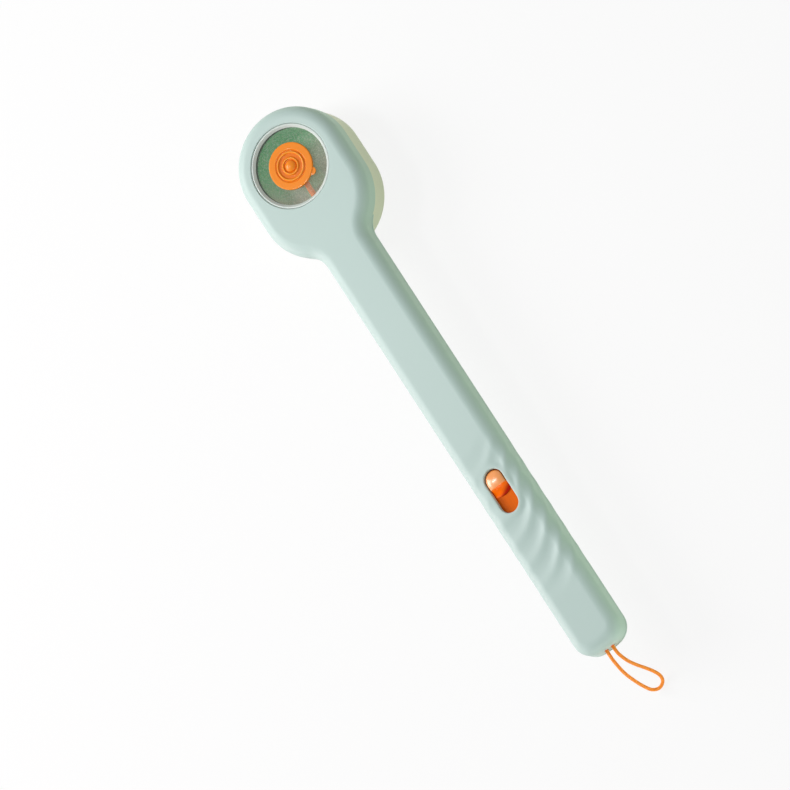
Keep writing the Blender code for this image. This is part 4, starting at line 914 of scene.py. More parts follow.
def wave_values():
    body, grip = settings("brush_body"), settings("brush_grip")
    slot_x = TAIL_X - body.slot_from_tail
    return {
        "Pitch": grip.pitch,
        "Depth": grip.depth,
        "Side Share": grip.side_share,
        "Near Share": grip.near_share,
        "Slant": grip.slant,
        "Curl": grip.curl,
        "Curl Start": grip.curl_start,
        "Start": slot_x - grip.lead,
        "End": TAIL_X - grip.tail_margin,
        "Slot X": slot_x,
        "Slot Straight": body.slot_length / 2 - body.slot_half_width,
        "Slot Half Width": body.slot_half_width,
        "Land": grip.land,
        "Blend": grip.blend,
        "Flat": body.handle_half_width - body.top_edge,
        "Full Side": body.handle_half_width + SPLIT_DEPTH / 2,
    }


def grip_waves(values):
    """Presses the grip's slanted waves into a shell along its outward directions."""
    nodes, sockets, geometry, value = group_tree("grip waves", values)
    girth, share = nodes.stored("girth"), nodes.stored("share")
    outward = nodes.stored("outward", "FLOAT_VECTOR")
    x, y, _ = nodes.axes(nodes.add("GeometryNodeInputPosition"))
    pitch = value["Pitch"]
    fade_in, fade_out = 2, 1.5  # pitches over which the waves begin and end
    sharpness = 1.5  # narrows the crests
    span = x.smooth(value["Start"], value["Start"] + pitch * fade_in)
    span = span * (1 - x.smooth(value["End"] - pitch * fade_out, value["End"]))
    past = (abs(x - value["Slot X"]) - value["Slot Straight"]).math("MAXIMUM", 0.0)
    away = (past * past + y * y).math("SQRT") - value["Slot Half Width"]
    span = span * away.smooth(value["Land"], value["Land"] + value["Blend"])
    curl = (girth + value["Curl Start"]).math("MAXIMUM", 0.0)
    shift = -(value["Slant"] * girth) - value["Curl"] * curl * curl
    crest = ((x - shift) * (2 * math.pi) / pitch).math("COSINE") * 0.5 + 0.5
    side = abs(girth).smooth(value["Flat"], value["Full Side"])
    across = girth.smooth(-value["Flat"], value["Flat"])
    across = value["Near Share"] + (1 - value["Near Share"]) * across
    depth = value["Depth"] * across * (1 + (value["Side Share"] - 1) * side)
    push = share * depth * span * (1 - crest**sharpness)
    offset = nodes.vector_math("SCALE", {"Vector": outward, "Scale": -push})
    inputs = {"Geometry": geometry, "Offset": offset}
    moved = nodes.add("GeometryNodeSetPosition", None, inputs)
    real = nodes.add("GeometryNodeRealizeInstances", None, {"Geometry": moved})
    end_tree(nodes, real, "mint_plastic")
    return nodes, sockets, values


def grip_stations(body):
    grip = settings("brush_grip")
    start = TAIL_X - body.slot_from_tail - grip.lead
    end = TAIL_X - grip.tail_margin
    count = round((end - start) / body.mesh_step)
    return [start + (end - start) * k / count for k in range(count + 1)]


def shells():
    waves = grip_waves(wave_values())
    back_shell(waves)
    front_shell(waves)


def back_shell(waves):
    body = settings("brush_body")
    stations = grip_stations(body)
    half = brush_half_outline(body, stations)
    skin = Skin(mirrored(half))
    radius, wall = body.top_edge, body.wall
    flat = body.handle_half_width - radius
    land, rim, side_rows = 0.5 * MM, 0.25 * MM, 5
    skin.add_row(radius + land, 0.0, 0.0, flat - land, 1.0)
    for a, inset, drop in quarter(radius, 12):
        skin.add_row(inset, drop, a, flat + radius * a, 1.0)
    side_girth = flat + radius * (SIDE - 1)
    for k in range(1, side_rows + 1):
        depth = radius + (SPLIT_DEPTH - rim - radius) * k / side_rows
        skin.add_row(0.0, depth, SIDE, side_girth + depth, 1.0)
    for _, rise, inset in quarter(rim, 3, 1):
        depth = SPLIT_DEPTH - rise
        skin.add_row(inset, depth, SIDE, side_girth + depth, 1.0)
    skin.add_row(wall, SPLIT_DEPTH, math.pi)
    for a, inset, drop in reversed(quarter(radius - wall, 4)):
        skin.add_row(wall + inset, body.face_thickness + drop, a)
    skin.join_rows()
    first = next(k for k, point in enumerate(half) if point[0] == stations[0])
    skin.fill_face(first, first + len(stations) - 1, columns=16)
    skin.maker.faces.new(skin.rows[-1])
    shell = finished("back_shell_piece", skin.maker)
    run_tree(shell, *waves)
    baked(shell, [window_cutter(shell, body), slot_cutter(shell, body), cord_holes(shell, body)])
    settle(shell, "body", sharp=30.0)


def window_cutter(shell, body):
    edge = 0.6 * MM
    levels = rounded_cutter_levels(edge, body.face_thickness + body.wall)
    outline = [(0.0, depth_z(levels[0][1]))]
    outline += [(body.window_radius + outset, depth_z(depth)) for outset, depth in levels]
    outline.append((0.0, outline[-1][1]))
    return cutter(shell, "window_cutter", turned(outline, (FAR_X, 0), 180))


def slot_cutter(shell, body):
    straight = body.slot_length - 2 * body.slot_half_width
    start = TAIL_X - body.slot_from_tail - straight / 2
    edge, step = 0.7 * MM, 0.4 * MM
    outline = stadium(body.slot_half_width, start, straight, step)
    levels = rounded_cutter_levels(edge, body.face_thickness + body.wall)
    rows = [inset_row(outline, -outset, depth_z(depth)) for outset, depth in levels]
    return cutter(shell, "slot_cutter", skinned(rows))


def cord_holes(shell, body):
    cord = settings("brush_cord")
    outline = cylinder(cord.radius + body.gap, TAIL_X - 2 * body.wall, TAIL_X + body.wall)
    maker = bmesh.new()
    for side in (-1, 1):
        hole = turned(outline, (side * cord.spacing, depth_z(cord.depth)), 32, "X")
        mesh = bpy.data.meshes.new("hole")
        hole.to_mesh(mesh)
        hole.free()
        maker.from_mesh(mesh)
        bpy.data.meshes.remove(mesh)
    return cutter(shell, "cord_holes", maker)


def base_sizes():
    """Half width and stretch of the cream base at its top."""
    half = (BASE_HIGH.y - BASE_LOW.y) / 2
    return half, BASE_HIGH.x - BASE_LOW.x - 2 * half


def front_shell(waves):
    body = settings("brush_body")
    skin = Skin(mirrored(brush_half_outline(body, grip_stations(body))))
    radius, land, rim = body.lower_edge, 0.5 * MM, 0.12 * MM
    flat = body.handle_half_width - body.top_edge
    girth = flat + body.top_edge * (SIDE - 1) + SPLIT_DEPTH
    top = SPLIT_DEPTH + body.gap
    skin.add_row(radius + land, HANDLE_DEPTH, math.pi, girth)
    for a, rise, inset in reversed(quarter(radius, 10)):
        skin.add_row(inset, HANDLE_DEPTH - rise, SIDE + a, girth + radius * a, 1 - a / SIDE)
    for _, drop, inset in quarter(rim, 2):
        skin.add_row(inset, top + drop, SIDE, girth, 1.0)
    tongue, floor = body.wall + body.gap, HANDLE_DEPTH - body.wall
    skin.add_row(tongue, top, math.pi)
    skin.add_row(tongue, top - TONGUE_HEIGHT, math.pi)
    skin.add_row(tongue + TONGUE_WALL, top - TONGUE_HEIGHT, math.pi)
    skin.add_row(tongue + TONGUE_WALL, floor - TONGUE_WALL, math.pi)
    skin.add_row(tongue + 2.5 * TONGUE_WALL, floor, math.pi)
    skin.join_rows()
    skin.maker.faces.new(list(reversed(skin.rows[0])))
    skin.maker.faces.new(skin.rows[-1])
    shell = finished("front_shell_piece", skin.maker)
    run_tree(shell, *waves)
    base_half, base_stretch = base_sizes()
    clear = stadium(base_half + body.gap, FAR_X, base_stretch, 0.7 * MM)
    rows = [inset_row(clear, 0.0, z) for z in (FACE_Z, 0.0)]
    tools = [cutter(shell, "base_clearance", skinned(rows))]
    start, beyond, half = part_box("front_shell")[0].x, -0.3, 0.05
    corners = [(beyond, -half), (start, -half), (start, half), (beyond, half)]
    rows = [[(x, y, z) for x, y in corners] for z in (FACE_Z, 0.0)]
    tools.append(cutter(shell, "head_end", skinned(rows)))
    baked(shell, tools)
    settle(shell, "body", sharp=30.0)


# Head: bristle base, pad and bristles


def brush_base():
    body = settings("brush_body")
    half, stretch = base_sizes()
    outline = stadium(half, FAR_X, stretch, 0.9 * MM)
    tongue = half - (HEAD_RADIUS - body.wall - body.gap)
    lip = tongue + TONGUE_WALL
    top, shoulder = SPLIT_DEPTH + body.gap, SPLIT_DEPTH + 2.6 * MM
    deck_top, deck_low = 25.1 * MM, 27.1 * MM
    draft, rim, soft, foot = 0.8 * MM, 1.2 * MM, 0.35 * MM, 0.4 * MM
    levels = [
        (body.wall + draft * 0.6, deck_top),
        (body.wall + draft * 0.2, shoulder + TONGUE_WALL),
        (lip, shoulder),
        (lip, top - TONGUE_HEIGHT),
        (tongue, top - TONGUE_HEIGHT),
        (tongue, top),
    ]
    levels += [(inset, top + drop) for _, inset, drop in quarter(soft, 3)]
    slope, side, count = draft * 0.9, HEAD_DEPTH - rim - top - soft, 7
    levels += [(slope * k / count, top + soft + side * k / count) for k in range(1, count + 1)]
    levels += [(slope + inset, HEAD_DEPTH - rise) for _, rise, inset in quarter(rim, 6, 1)]
    inner = draft + body.wall
    levels += [(inner - inset, HEAD_DEPTH - drop) for _, inset, drop in quarter(foot, 3)]
    levels.append((inner, deck_low))
    rows = [inset_row(outline, inset, depth_z(depth)) for inset, depth in levels]
    base = finished("brush_base_piece", skinned(rows), "cream_plastic")
    seat, seat_top, seat_low, hole, hole_low = 5.9 * MM, 23 * MM, 26.1 * MM, 3.7 * MM, 30 * MM
    spout = stepped(depth_z(seat_top), seat, depth_z(seat_low), hole, depth_z(hole_low))
    baked(base, [cutter(base, "spout_hole", turned(spout, (OUTLET_X, 0), 48))])
    settle(base, "body")


def pad_retainer():
    low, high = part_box("pad_retainer")
    soft, crisp = 0.35 * MM, 0.1 * MM
    chamfer = (high.z - low.z) / 2
    corners = [
        (0.0, high.z, crisp),
        (0.0, low.z, soft),
        (RETAINER_WIDTH - chamfer, low.z, soft),
        (RETAINER_WIDTH, low.z + chamfer, soft),
        (RETAINER_WIDTH, high.z, crisp),
    ]
    rows = [inset_row(box_stadium(low, high), inset, z) for inset, z in softened(corners)]
    finished("pad_retainer_piece", skinned(rows, closed=True), "cream_plastic", "body")


def outlet_nozzle():
    low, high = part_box("outlet_nozzle")
    bore, radius = 1.6 * MM, 4.2 * MM
    lip_top = high.z - 2.3 * MM
    corners = [
        (bore, high.z),
        (radius, high.z),
        (radius, lip_top),
        (NOZZLE_LIP, lip_top, 0.3 * MM),
        (NOZZLE_LIP, lip_top - 0.84 * MM, 0.35 * MM),
        (radius * 0.8, lip_top - 1.3 * MM, 0.8 * MM),
        (bore + 0.6 * MM, low.z, 0.28 * MM),
        (bore, low.z, 0.2 * MM),
    ]
    maker = turned(softened(corners, 5), (OUTLET_X, 0), 48)
    finished("outlet_nozzle_piece", maker, "orange_silicone", "body")


def bristle_places(bristles):
    """Staggered rows inside the retainer, clear of the nozzle."""
    low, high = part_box("pad_retainer")
    half = (high.y - low.y) / 2
    stretch = high.x - low.x - 2 * half
    gap = settings("brush_body").gap
    field = half - RETAINER_WIDTH - bristles.root_radius - 2 * gap
    clear = NOZZLE_LIP + bristles.root_radius + 2 * gap
    middle = low.x + half + stretch / 2
    row_step = bristles.pitch * math.sqrt(3) / 2
    rows = int(field / row_step + 1e-4)
    columns = int((field + stretch / 2) / bristles.pitch) + 1
    places = []
    for row in range(-rows, rows + 1):
        for column in range(-columns, columns + 1):
            x = middle + (column + 0.5 * (row % 2)) * bristles.pitch
            y = row * row_step
            beyond = max(abs(x - middle) - stretch / 2, 0.0)
            inside = math.hypot(beyond, y) <= field
            if inside and math.hypot(x - OUTLET_X, y) > clear:
                places.append((x, y))
    return places


def bristle_tree(values):
    """Stands a tapered bristle on every loose point and joins them to the pad."""
    nodes, sockets, geometry, value = group_tree("bristles", values)
    options = {"data_type": "FLOAT", "operation": "GREATER_THAN"}
    chosen = nodes.add("FunctionNodeCompare", options, {0: nodes.stored("foot"), 1: 0.5})
    inputs = {"Geometry": geometry, "Selection": chosen}
    feet = nodes.add("GeometryNodeSeparateGeometry", {"domain": "POINT"}, inputs)
    pad = feet.socket.node.outputs["Inverted"]

    inputs = {"Start": (0, 0, 0), "End": (0, 0, -1.0)}
    line = nodes.add("GeometryNodeCurvePrimitiveLine", None, inputs)
    line = nodes.add("GeometryNodeResampleCurve", None, {"Curve": line, "Count": 7})
    t = nodes.add("GeometryNodeSplineParameter", None, None, "Factor")
    eased = t.smooth(0.0, 1.0) * 0.35 + t * 0.65
    radius = value["Root Radius"] + (value["Tip Radius"] - value["Root Radius"]) * eased
    flare, flare_end, taper, taper_start = 0.3, 0.17, 0.45, 0.95  # at the root and at the tip
    radius = radius * (1 + (1 - t.smooth(0.0, flare_end)) * flare)
    radius = radius * (1 - t.smooth(taper_start, 1.0) * taper)
    span = nodes.joined(0.0, 0.0, -(t * value["Length"]))
    line = nodes.add("GeometryNodeSetPosition", None, {"Geometry": line, "Position": span})
    circle = nodes.add("GeometryNodeCurvePrimitiveCircle", None, {"Resolution": 8, "Radius": 1.0})
    inputs = {"Curve": line, "Profile Curve": circle, "Scale": radius, "Fill Caps": True}
    strand = nodes.add("GeometryNodeCurveToMesh", None, inputs)

    def random(low, high, offset):
        inputs = {"Min": low, "Max": high, "Seed": value["Seed"] + offset}
        return nodes.add("FunctionNodeRandomValue", {"data_type": "FLOAT"}, inputs)

    lean = value["Lean"] * (math.pi / 180)
    lean_x, lean_y = random(-1.0, 1.0, 0) * lean, random(-1.0, 1.0, 1) * lean
    tilt = nodes.joined(lean_x, lean_y, random(0.0, 6.28, 2))
    turn = nodes.add("FunctionNodeEulerToRotation", None, {"Euler": tilt})
    inputs = {"Points": feet, "Instance": strand, "Rotation": turn}
    stood = nodes.add("GeometryNodeInstanceOnPoints", None, inputs)
    real = nodes.add("GeometryNodeRealizeInstances", None, {"Geometry": stood})
    both = nodes.add("GeometryNodeJoinGeometry", None, {"Geometry": real})
    nodes.tree.links.new(pad, both.socket.node.inputs[0])
    end_tree(nodes, both, "white_silicone")
    return nodes, sockets, values


def bristle_pad():
    bristles = settings("brush_bristles")
    low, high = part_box("bristle_pad")
    outline = box_stadium(low, high)
    pad_low = high.z - 2.0 * MM
    edge, hole_radius = 0.25 * MM, 4.5 * MM
    levels = ((0.0, high.z), (0.0, pad_low + edge), (edge, pad_low))
    rows = [inset_row(outline, inset, z) for inset, z in levels]
    pad = finished("bristle_pad_piece", skinned(rows))
    hole = cylinder(hole_radius, high.z + MM, pad_low - MM)
    baked(pad, [cutter(pad, "nozzle_hole", turned(hole, (OUTLET_X, 0), 48))])
    maker = bmesh.new()
    maker.from_mesh(pad.data)
    foot = maker.verts.layers.float.new("foot")
    root_z = pad_low + 0.1 * MM
    for x, y in bristle_places(bristles):
        maker.verts.new((x, y, root_z))[foot] = 1.0
    maker.to_mesh(pad.data)
    maker.free()
    values = {
        "Length": root_z - low.z,
        "Root Radius": bristles.root_radius,
        "Tip Radius": bristles.tip_radius,
        "Lean": bristles.lean,
        "Seed": bristles.seed,
    }
    run_tree(pad, *bristle_tree(values))
    baked(pad)
    settle(pad, "body", sharp=50.0)


# Window, plug and reservoir


def window_ring():
    body, window = settings("brush_body"), settings("brush_window")
    top, low = depth_z(window.bezel_depth), depth_z(window.bezel_depth + window.bezel_thickness)
    outer = body.window_radius - body.gap / 2
    corners = [
        (window.clear_radius + window.bezel_bevel, top, 0.2 * MM),
        (outer, top, window.bezel_round),
        (outer, low),
        (window.clear_radius, low, 0.12 * MM),
    ]
    maker = turned(softened(corners, 5), (FAR_X, 0), 180)
    finished("window_bezel_piece", maker, "light_plastic", "body")


def window_lens():
    low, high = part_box("window_lid")
    outer, inner = (high.y - low.y) / 2, settings("brush_window").filler_radius
    edge = 0.2 * MM
    corners = [(inner, high.z, edge), (outer, high.z, edge), (outer, low.z), (inner, low.z)]
    maker = turned(softened(corners), (FAR_X, 0), 160)
    finished("window_lid_piece", maker, "clear_plastic", "body")


def filler_plug():
    """Plug turned about the window's axis, with a thin pull tab drawn out of its foot."""
    window = settings("brush_window")
    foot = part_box("filler_plug")[0].z
    radius = window.plug_radius
    seat = foot + PLUG_SEAT
    face = seat + window.plug_thickness
    neck = window.filler_radius - 0.3 * MM
    edge, hair = 0.36 * MM, 0.02 * MM
    tab_top = seat + 0.75 * MM
    outline = [(0.0, foot), (neck - 2 * edge, foot, edge), (neck, foot + 2 * edge, edge)]
    outline += [(neck, seat), (radius, seat, 0.2 * MM), (radius, tab_top - hair)]
    outline += [(radius, tab_top + hair), (radius, face, 0.42 * MM), (0.0, face)]
    points = softened(outline, 5, closed=False)[:-1]
    circles, segments = 90, 160
    for k in range(1, circles + 1):
        r = (radius - 0.5 * MM) * (1 - k / circles)
        points.append((r, face + plug_relief(r, window)))
    tab = math.radians(window.tab_angle)
    rows = []
    for r, z in points:
        row = []
        for k in range(segments):
            a = 2 * math.pi * k / segments
            off = math.atan2(math.sin(a - tab), math.cos(a - tab))
            reach = r
            if z < tab_top and r > neck + edge:
                reach = r + tab_reach(off, window) * (r - neck) / (radius - neck)
            row.append((FAR_X + reach * math.cos(a), reach * math.sin(a), z))
        rows.append(row)
    finished("filler_plug_piece", skinned(rows, caps=False), "orange_silicone", "plug")


def tab_reach(off, window):
    """How far the pull tab stands out of the plug's edge at an angle from its middle."""
    across = window.tab_distance * math.sin(off)
    if abs(off) > math.pi / 4 or abs(across) >= window.tab_radius:
        return 0.0
    end = window.tab_distance * math.cos(off) + math.sqrt(window.tab_radius**2 - across**2)
    return max(end - window.plug_radius, 0.0)


def plug_relief(r, window):
    """Height over the plug's face: a dish with two rounded rings and a centre dome."""
    half_ring, dish_slope = 0.9 * MM, 0.7 * MM
    rise = 0.0
    for crest in (window.inner_ring, window.outer_ring):
        off = abs(r - crest) / half_ring
        if off < 1:
            rise = window.ring_height * 0.5 * (1 + math.cos(math.pi * off))
    if r < window.dome_radius:
        rise = window.dome_height * math.sqrt(1 - (r / window.dome_radius) ** 2)
    share = min(max((window.dish_radius - r) / dish_slope, 0.0), 1.0)
    return rise - window.dish_depth * share * share * (3 - 2 * share)


def reservoir_cup():
    body, window = settings("brush_body"), settings("brush_window")
    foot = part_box("reservoir_cup")[0].z
    clear, floor = window.clear_radius, window.cup_depth
    wall, base = 2.0 * MM, 1.8 * MM
    outer, rebate = clear + wall, body.window_radius - body.gap
    rim = rebate + 2.1 * MM
    top = body.face_thickness + body.gap
    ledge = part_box("window_lid")[0].z - 1.2 * MM
    corners = [
        (0.0, depth_z(floor + base)),
        (outer, depth_z(floor + base), 1.8 * MM),
        (outer, ledge - wall),
        (rim, ledge - wall + (rim - outer)),
        (rim, depth_z(top)),
        (rebate, depth_z(top), 0.15 * MM),
        (rebate, ledge),
        (clear, ledge, 0.25 * MM),
        (clear, depth_z(floor), 1.0 * MM),
        (0.0, depth_z(floor)),
    ]
    maker = turned(softened(corners, 6, closed=False), (FAR_X, 0), 144)
    cup = finished("reservoir_cup_piece", maker, "frosted_plastic")
    tools = []

    def tool(name, outline, axis, operation="DIFFERENCE"):
        centre = (OUTLET_X, 0) if axis == "Z" else (0, depth_z(ROD_DEPTH))
        tools.append(cutter(cup, name, turned(outline, centre, 48, axis), operation))

    start, end = FAR_X + clear + wall / 2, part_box("rod_gland")[1].x - 1.5 * MM
    spout, drain, bore = 3.4 * MM, 1.6 * MM, 2.6 * MM
    tool("spigot", cylinder(4.0 * MM, start, end), "X", "UNION")
    tool("spout", cylinder(spout, depth_z(floor + 0.9 * MM), foot), "Z", "UNION")
    tool("rod_bore", cylinder(bore, start - 2 * wall, end + wall), "X")
    seat = depth_z(floor + 0.8 * MM)
    tool("drain", stepped(depth_z(floor - wall), spout, seat, drain, foot - wall), "Z")
    baked(cup, tools)
    settle(cup, "body")


# Slider


def button_rise(along, y, long, half, slider, full):
    """Height over the button's foot: crowned pad, ridge, hollow slope and thin lip."""
    peak_share, slope_end = 0.7, 0.85  # highest place of the pad, foot of the hollow
    side_start, side_width, side_onset = 0.86, 0.14, 2.5  # how the slope's sides round off
    crown = slider.crown * abs(y / half) ** 3
    ridge, ridge_drop = slider.ridge - slider.inset, 0.2 * MM
    peak = ridge * peak_share
    if along <= peak:
        return full - slider.head_drop * (1 - along / peak) ** 2 - crown
    if along <= ridge:
        return full - ridge_drop * ((along - peak) / (ridge - peak)) ** 2 - crown
    fall = (along - ridge) / (long - ridge)
    hollow = max(1 - fall / slope_end, 0.0) ** 2
    side = max(abs(y) / half - side_start, 0.0) / side_width
    sides = 1.0 - side * min(fall * side_onset, 1.0)
    return slider.lip + hollow * sides * (full - ridge_drop - slider.lip - crown)


def slide_button():
    slider = settings("brush_slider")
    half = (BUTTON_HIGH.y - BUTTON_LOW.y) / 2 - slider.inset
    start = BUTTON_LOW.x + slider.inset
    long = BUTTON_HIGH.x - start
    bottom = BUTTON_LOW.z
    full = FACE_Z + slider.proud - bottom
    columns, lines = 36, 72
    edge, least, tiny = 0.4 * MM, 0.1 * MM, 0.02 * MM
    crowding = 0.6  # how much the rows gather at both ends
    upper, lower = [], []
    maker = bmesh.new()
    for k in range(lines + 1):
        share = k / lines
        along = long * (share + 0.5 * math.sin(math.pi * share) * (share - 0.5) * crowding)
        along = max(along, tiny)
        reach = max(half - along, 0.0)
        width = math.sqrt(half**2 - reach**2)
        top_row, low_row = [], []
        for c in range(columns + 1):
            y = width * math.sin(math.pi / 2 * (2 * c / columns - 1))
            bow = slider.tail_radius - math.sqrt(slider.tail_radius**2 - y**2)
            x = start + along - bow * max(2 * along / long - 1, 0.0)
            rise = button_rise(along, y, long, half, slider, full)
            rim = half - math.hypot(reach, y)
            if rim < edge:
                round_off = edge - math.sqrt(edge**2 - (edge - max(rim, 0.0)) ** 2)
                rise -= min(round_off, rise - least)
            top_row.append(maker.verts.new((x, y, bottom + max(rise, least))))
            low_row.append(maker.verts.new((x, y, bottom)))
        upper.append(top_row)
        lower.append(low_row)
    for near, far in zip(upper, upper[1:]):
        strip(maker, near, far)
    border = [row[0] for row in lower] + lower[-1][1:-1] + [row[-1] for row in reversed(lower)]
    border += list(reversed(lower[0][1:-1]))
    maker.faces.new(border)
    for row in lower[1:-1]:
        for vert in row[1:-1]:
            maker.verts.remove(vert)
    for side in (0, columns):
        strip(maker, [row[side] for row in upper], [row[side] for row in lower])
    for end in (0, -1):
        strip(maker, upper[end], lower[end])
    finished("slide_button_piece", maker, "orange_gloss", "slider", sharp=40.0)


def pull_rod():
    low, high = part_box("pull_rod")
    radius, soft = settings("brush_slider").rod_radius, 0.25 * MM
    collar, thick, stem = 2.8 * MM, 1.3 * MM, 9.6 * MM
    eye_bore, eye_radius = 2.1 * MM, 3.6 * MM
    back = high.x - thick
    front = back - stem
    eye_x = low.x + eye_radius
    start = eye_x + 2.85 * MM
    corners = [
        (0.0, start),
        (radius, start),
        (radius, front - thick, soft),
        (collar, front - thick, soft),
        (collar, front, soft),
        (radius, front, soft / 2),
        (radius, back, soft / 2),
        (collar, back, soft),
        (collar, back + thick, soft),
        (0.0, back + thick),
    ]
    maker = turned(softened(corners, 3, closed=False), (0, depth_z(ROD_DEPTH)), 40, "X")
    rod = finished("pull_rod_piece", maker, "orange_plate")
    top, bottom = depth_z(ROD_DEPTH - radius), depth_z(ROD_DEPTH + radius)
    eye = [(eye_bore, top, soft), (eye_radius, top, soft)]
    eye += [(eye_radius, bottom, soft), (eye_bore, bottom, soft)]
    baked(rod, [cutter(rod, "eye", turned(softened(eye, 3), (eye_x, 0), 48), "UNION")])
    settle(rod, "slider")


INNER_FINISHES = {
    "orange_plate": ("slider_carriage",),
    "white_plastic": ("slider_guide", "gate_guide", "valve_gate"),
    "grey_rubber": ("lid_seal", "valve_seal", "outlet_seal", "rod_gland"),
    "steel": ("detent_spring", "guide_screw_1", "guide_screw_2", "guide_screw_3", "guide_screw_4"),
    "orange_cord": ("cord_anchor",),
}


def inner_pieces():
    """Finishes of the solids that show as they are."""
    for finish, names in INNER_FINISHES.items():
        for name in names:
            materials = NODES[name].data.materials
            materials.clear()
            materials.append(FINISHES[finish])


# Cord


def spline_point(a, b, c, d, t):
    """Point between b and c on a smooth curve through four points."""
    bend = (2 * a - 5 * b + 4 * c - d) * t * t
    return 0.5 * (2 * b + (c - a) * t + bend + (3 * b - a - 3 * c + d) * t**3)


def cord_path(steps):
    route = [Vector((TAIL_X + x, y, z)) for x, y, z in CORD_ROUTE]
    route = [2 * route[0] - route[1]] + route + [2 * route[-1] - route[-2]]
    points = []
    for k in range(1, len(route) - 2):
        for step in range(steps):
            points.append(spline_point(*route[k - 1 : k + 3], step / steps))
    points.append(route[-2])
    return points


def cord_loop():
    """Tube along the route, with a UV map that runs round and along it."""
    radius = settings("brush_cord").radius
    path = cord_path(steps=12)
    sides = 20
    maker = bmesh.new()
    uv = maker.loops.layers.uv.new("cord")
    side = Vector((0, 1, 0))
    rows, marks, total = [], [], 0.0
    for k, point in enumerate(path):
        before, after = path[max(k - 1, 0)], path[min(k + 1, len(path) - 1)]
        along = (after - before).normalized()
        side = (side - along * side.dot(along)).normalized()
        across = along.cross(side)
        if k:
            total += (point - path[k - 1]).length
        marks.append(total)
        row = []
        for s in range(sides):
            a = 2 * math.pi * s / sides
            spoke = side * math.cos(a) + across * math.sin(a)
            row.append(maker.verts.new(point + spoke * radius))
        rows.append(row)
    for k, (near, far) in enumerate(zip(rows, rows[1:])):
        for s, face in enumerate(ring(maker, near, far)):
            places = ((s, k), (s + 1, k), (s + 1, k + 1), (s, k + 1))
            for loop, (u, v) in zip(face.loops, places):
                loop[uv].uv = (u / sides, marks[v])
    maker.faces.new(rows[0])
    maker.faces.new(list(reversed(rows[-1])))
    piece = finished("cord_loop_piece", maker, "orange_cord", "body")


# Studio


def seen_directly(nodes):
    """1 for rays of the camera and of glossy or clear surfaces, 0 for all others."""
    path = nodes.tree.nodes.new("ShaderNodeLightPath")
    names = ("Is Camera Ray", "Is Glossy Ray", "Is Transmission Ray")
    rays = [Field(nodes, path.outputs[name]) for name in names]
    return rays[0].math("MAXIMUM", rays[1]).math("MAXIMUM", rays[2])


def studio_world(studio):
    world = bpy.data.worlds.new("studio")
    world.use_nodes = True
    bpy.context.scene.world = world
    nodes = Nodes(world.node_tree)
    strength = studio.ambient + seen_directly(nodes) * (1.0 - studio.ambient)
    inputs = {"Color": (1, 1, 1, 1), "Strength": strength}
    light = nodes.add("ShaderNodeBackground", None, inputs)
    nodes.add("ShaderNodeOutputWorld", None, {"Surface": light})


def studio_floor(studio):
    """White paper under the brush, which throws a tinted light back on its sides."""
    size, level = 3.0, -0.2 * MM
    corners = [(-size, -size), (size, -size), (size, size), (-size, size)]
    maker = bmesh.new()
    maker.faces.new([maker.verts.new((x, y, level)) for x, y in corners])
    floor = finished("studio_floor", maker)
    paper = bpy.data.materials.new("studio_paper")
    paper.use_nodes = True
    nodes = Nodes(paper.node_tree)
    place = nodes.add("ShaderNodeTexCoord", None, None, "Object")
    fibre = nodes.add("ShaderNodeTexNoise", None, {"Vector": place, "Scale": 900.0}, "Fac")
    paper_tone = nodes.mixed(fibre, (0.90, 0.90, 0.90, 1), (0.94, 0.94, 0.94, 1))
    seen = seen_directly(nodes)
    across = nodes.axes(place)[1].smooth(-0.12, 0.06)
    near_tint, far_tint = (0.80, 0.78, 0.80, 1), (0.73, 0.91, 0.57, 1)
    bounce = nodes.mixed(across, near_tint, far_tint)
    tone = nodes.mixed(seen, bounce, paper_tone)
    matte = nodes.add("ShaderNodeBsdfDiffuse", None, {"Color": tone})
    white = nodes.add("ShaderNodeEmission", None, {"Color": (1, 1, 1, 1), "Strength": 1.0})
    inputs = {0: seen * studio.floor_glow, 1: matte, 2: white}
    surface = nodes.add("ShaderNodeMixShader", None, inputs)
    nodes.add("ShaderNodeOutputMaterial", None, {"Surface": surface})
    floor.data.materials.append(paper)
    return floor


WHITE = (1.0, 1.0, 1.0)
WINDOW = (FAR_X, 0, FACE_Z)
HANDLE = (0, 0, FACE_Z)
LAMPS = (  # name, width and height, place, target, tint
    ("key", (0.9, 0.9), (-0.79, -1.15, 0.94), WINDOW, WHITE),
    ("top", (0.12, 0.12), (-0.26, -0.234, 0.731), HANDLE, WHITE),
    ("rim", (0.6, 0.3), (-0.1, -1.1, 0.2), HANDLE, (1.0, 0.72, 0.76)),
    ("tail", (0.7, 0.7), (1.3, 0.1, 0.8), HANDLE, WHITE),
    ("side", (0.2, 0.1), (0.25, 0.35, 0.07), (0.08, 0, 0.03), (0.80, 1.0, 0.74)),
    ("end", (0.2, 0.08), (0.52, -0.14, 0.06), (0.18, 0, 0.03), WHITE),
)
LAMPS_OFF_FLOOR = ("side", "end")


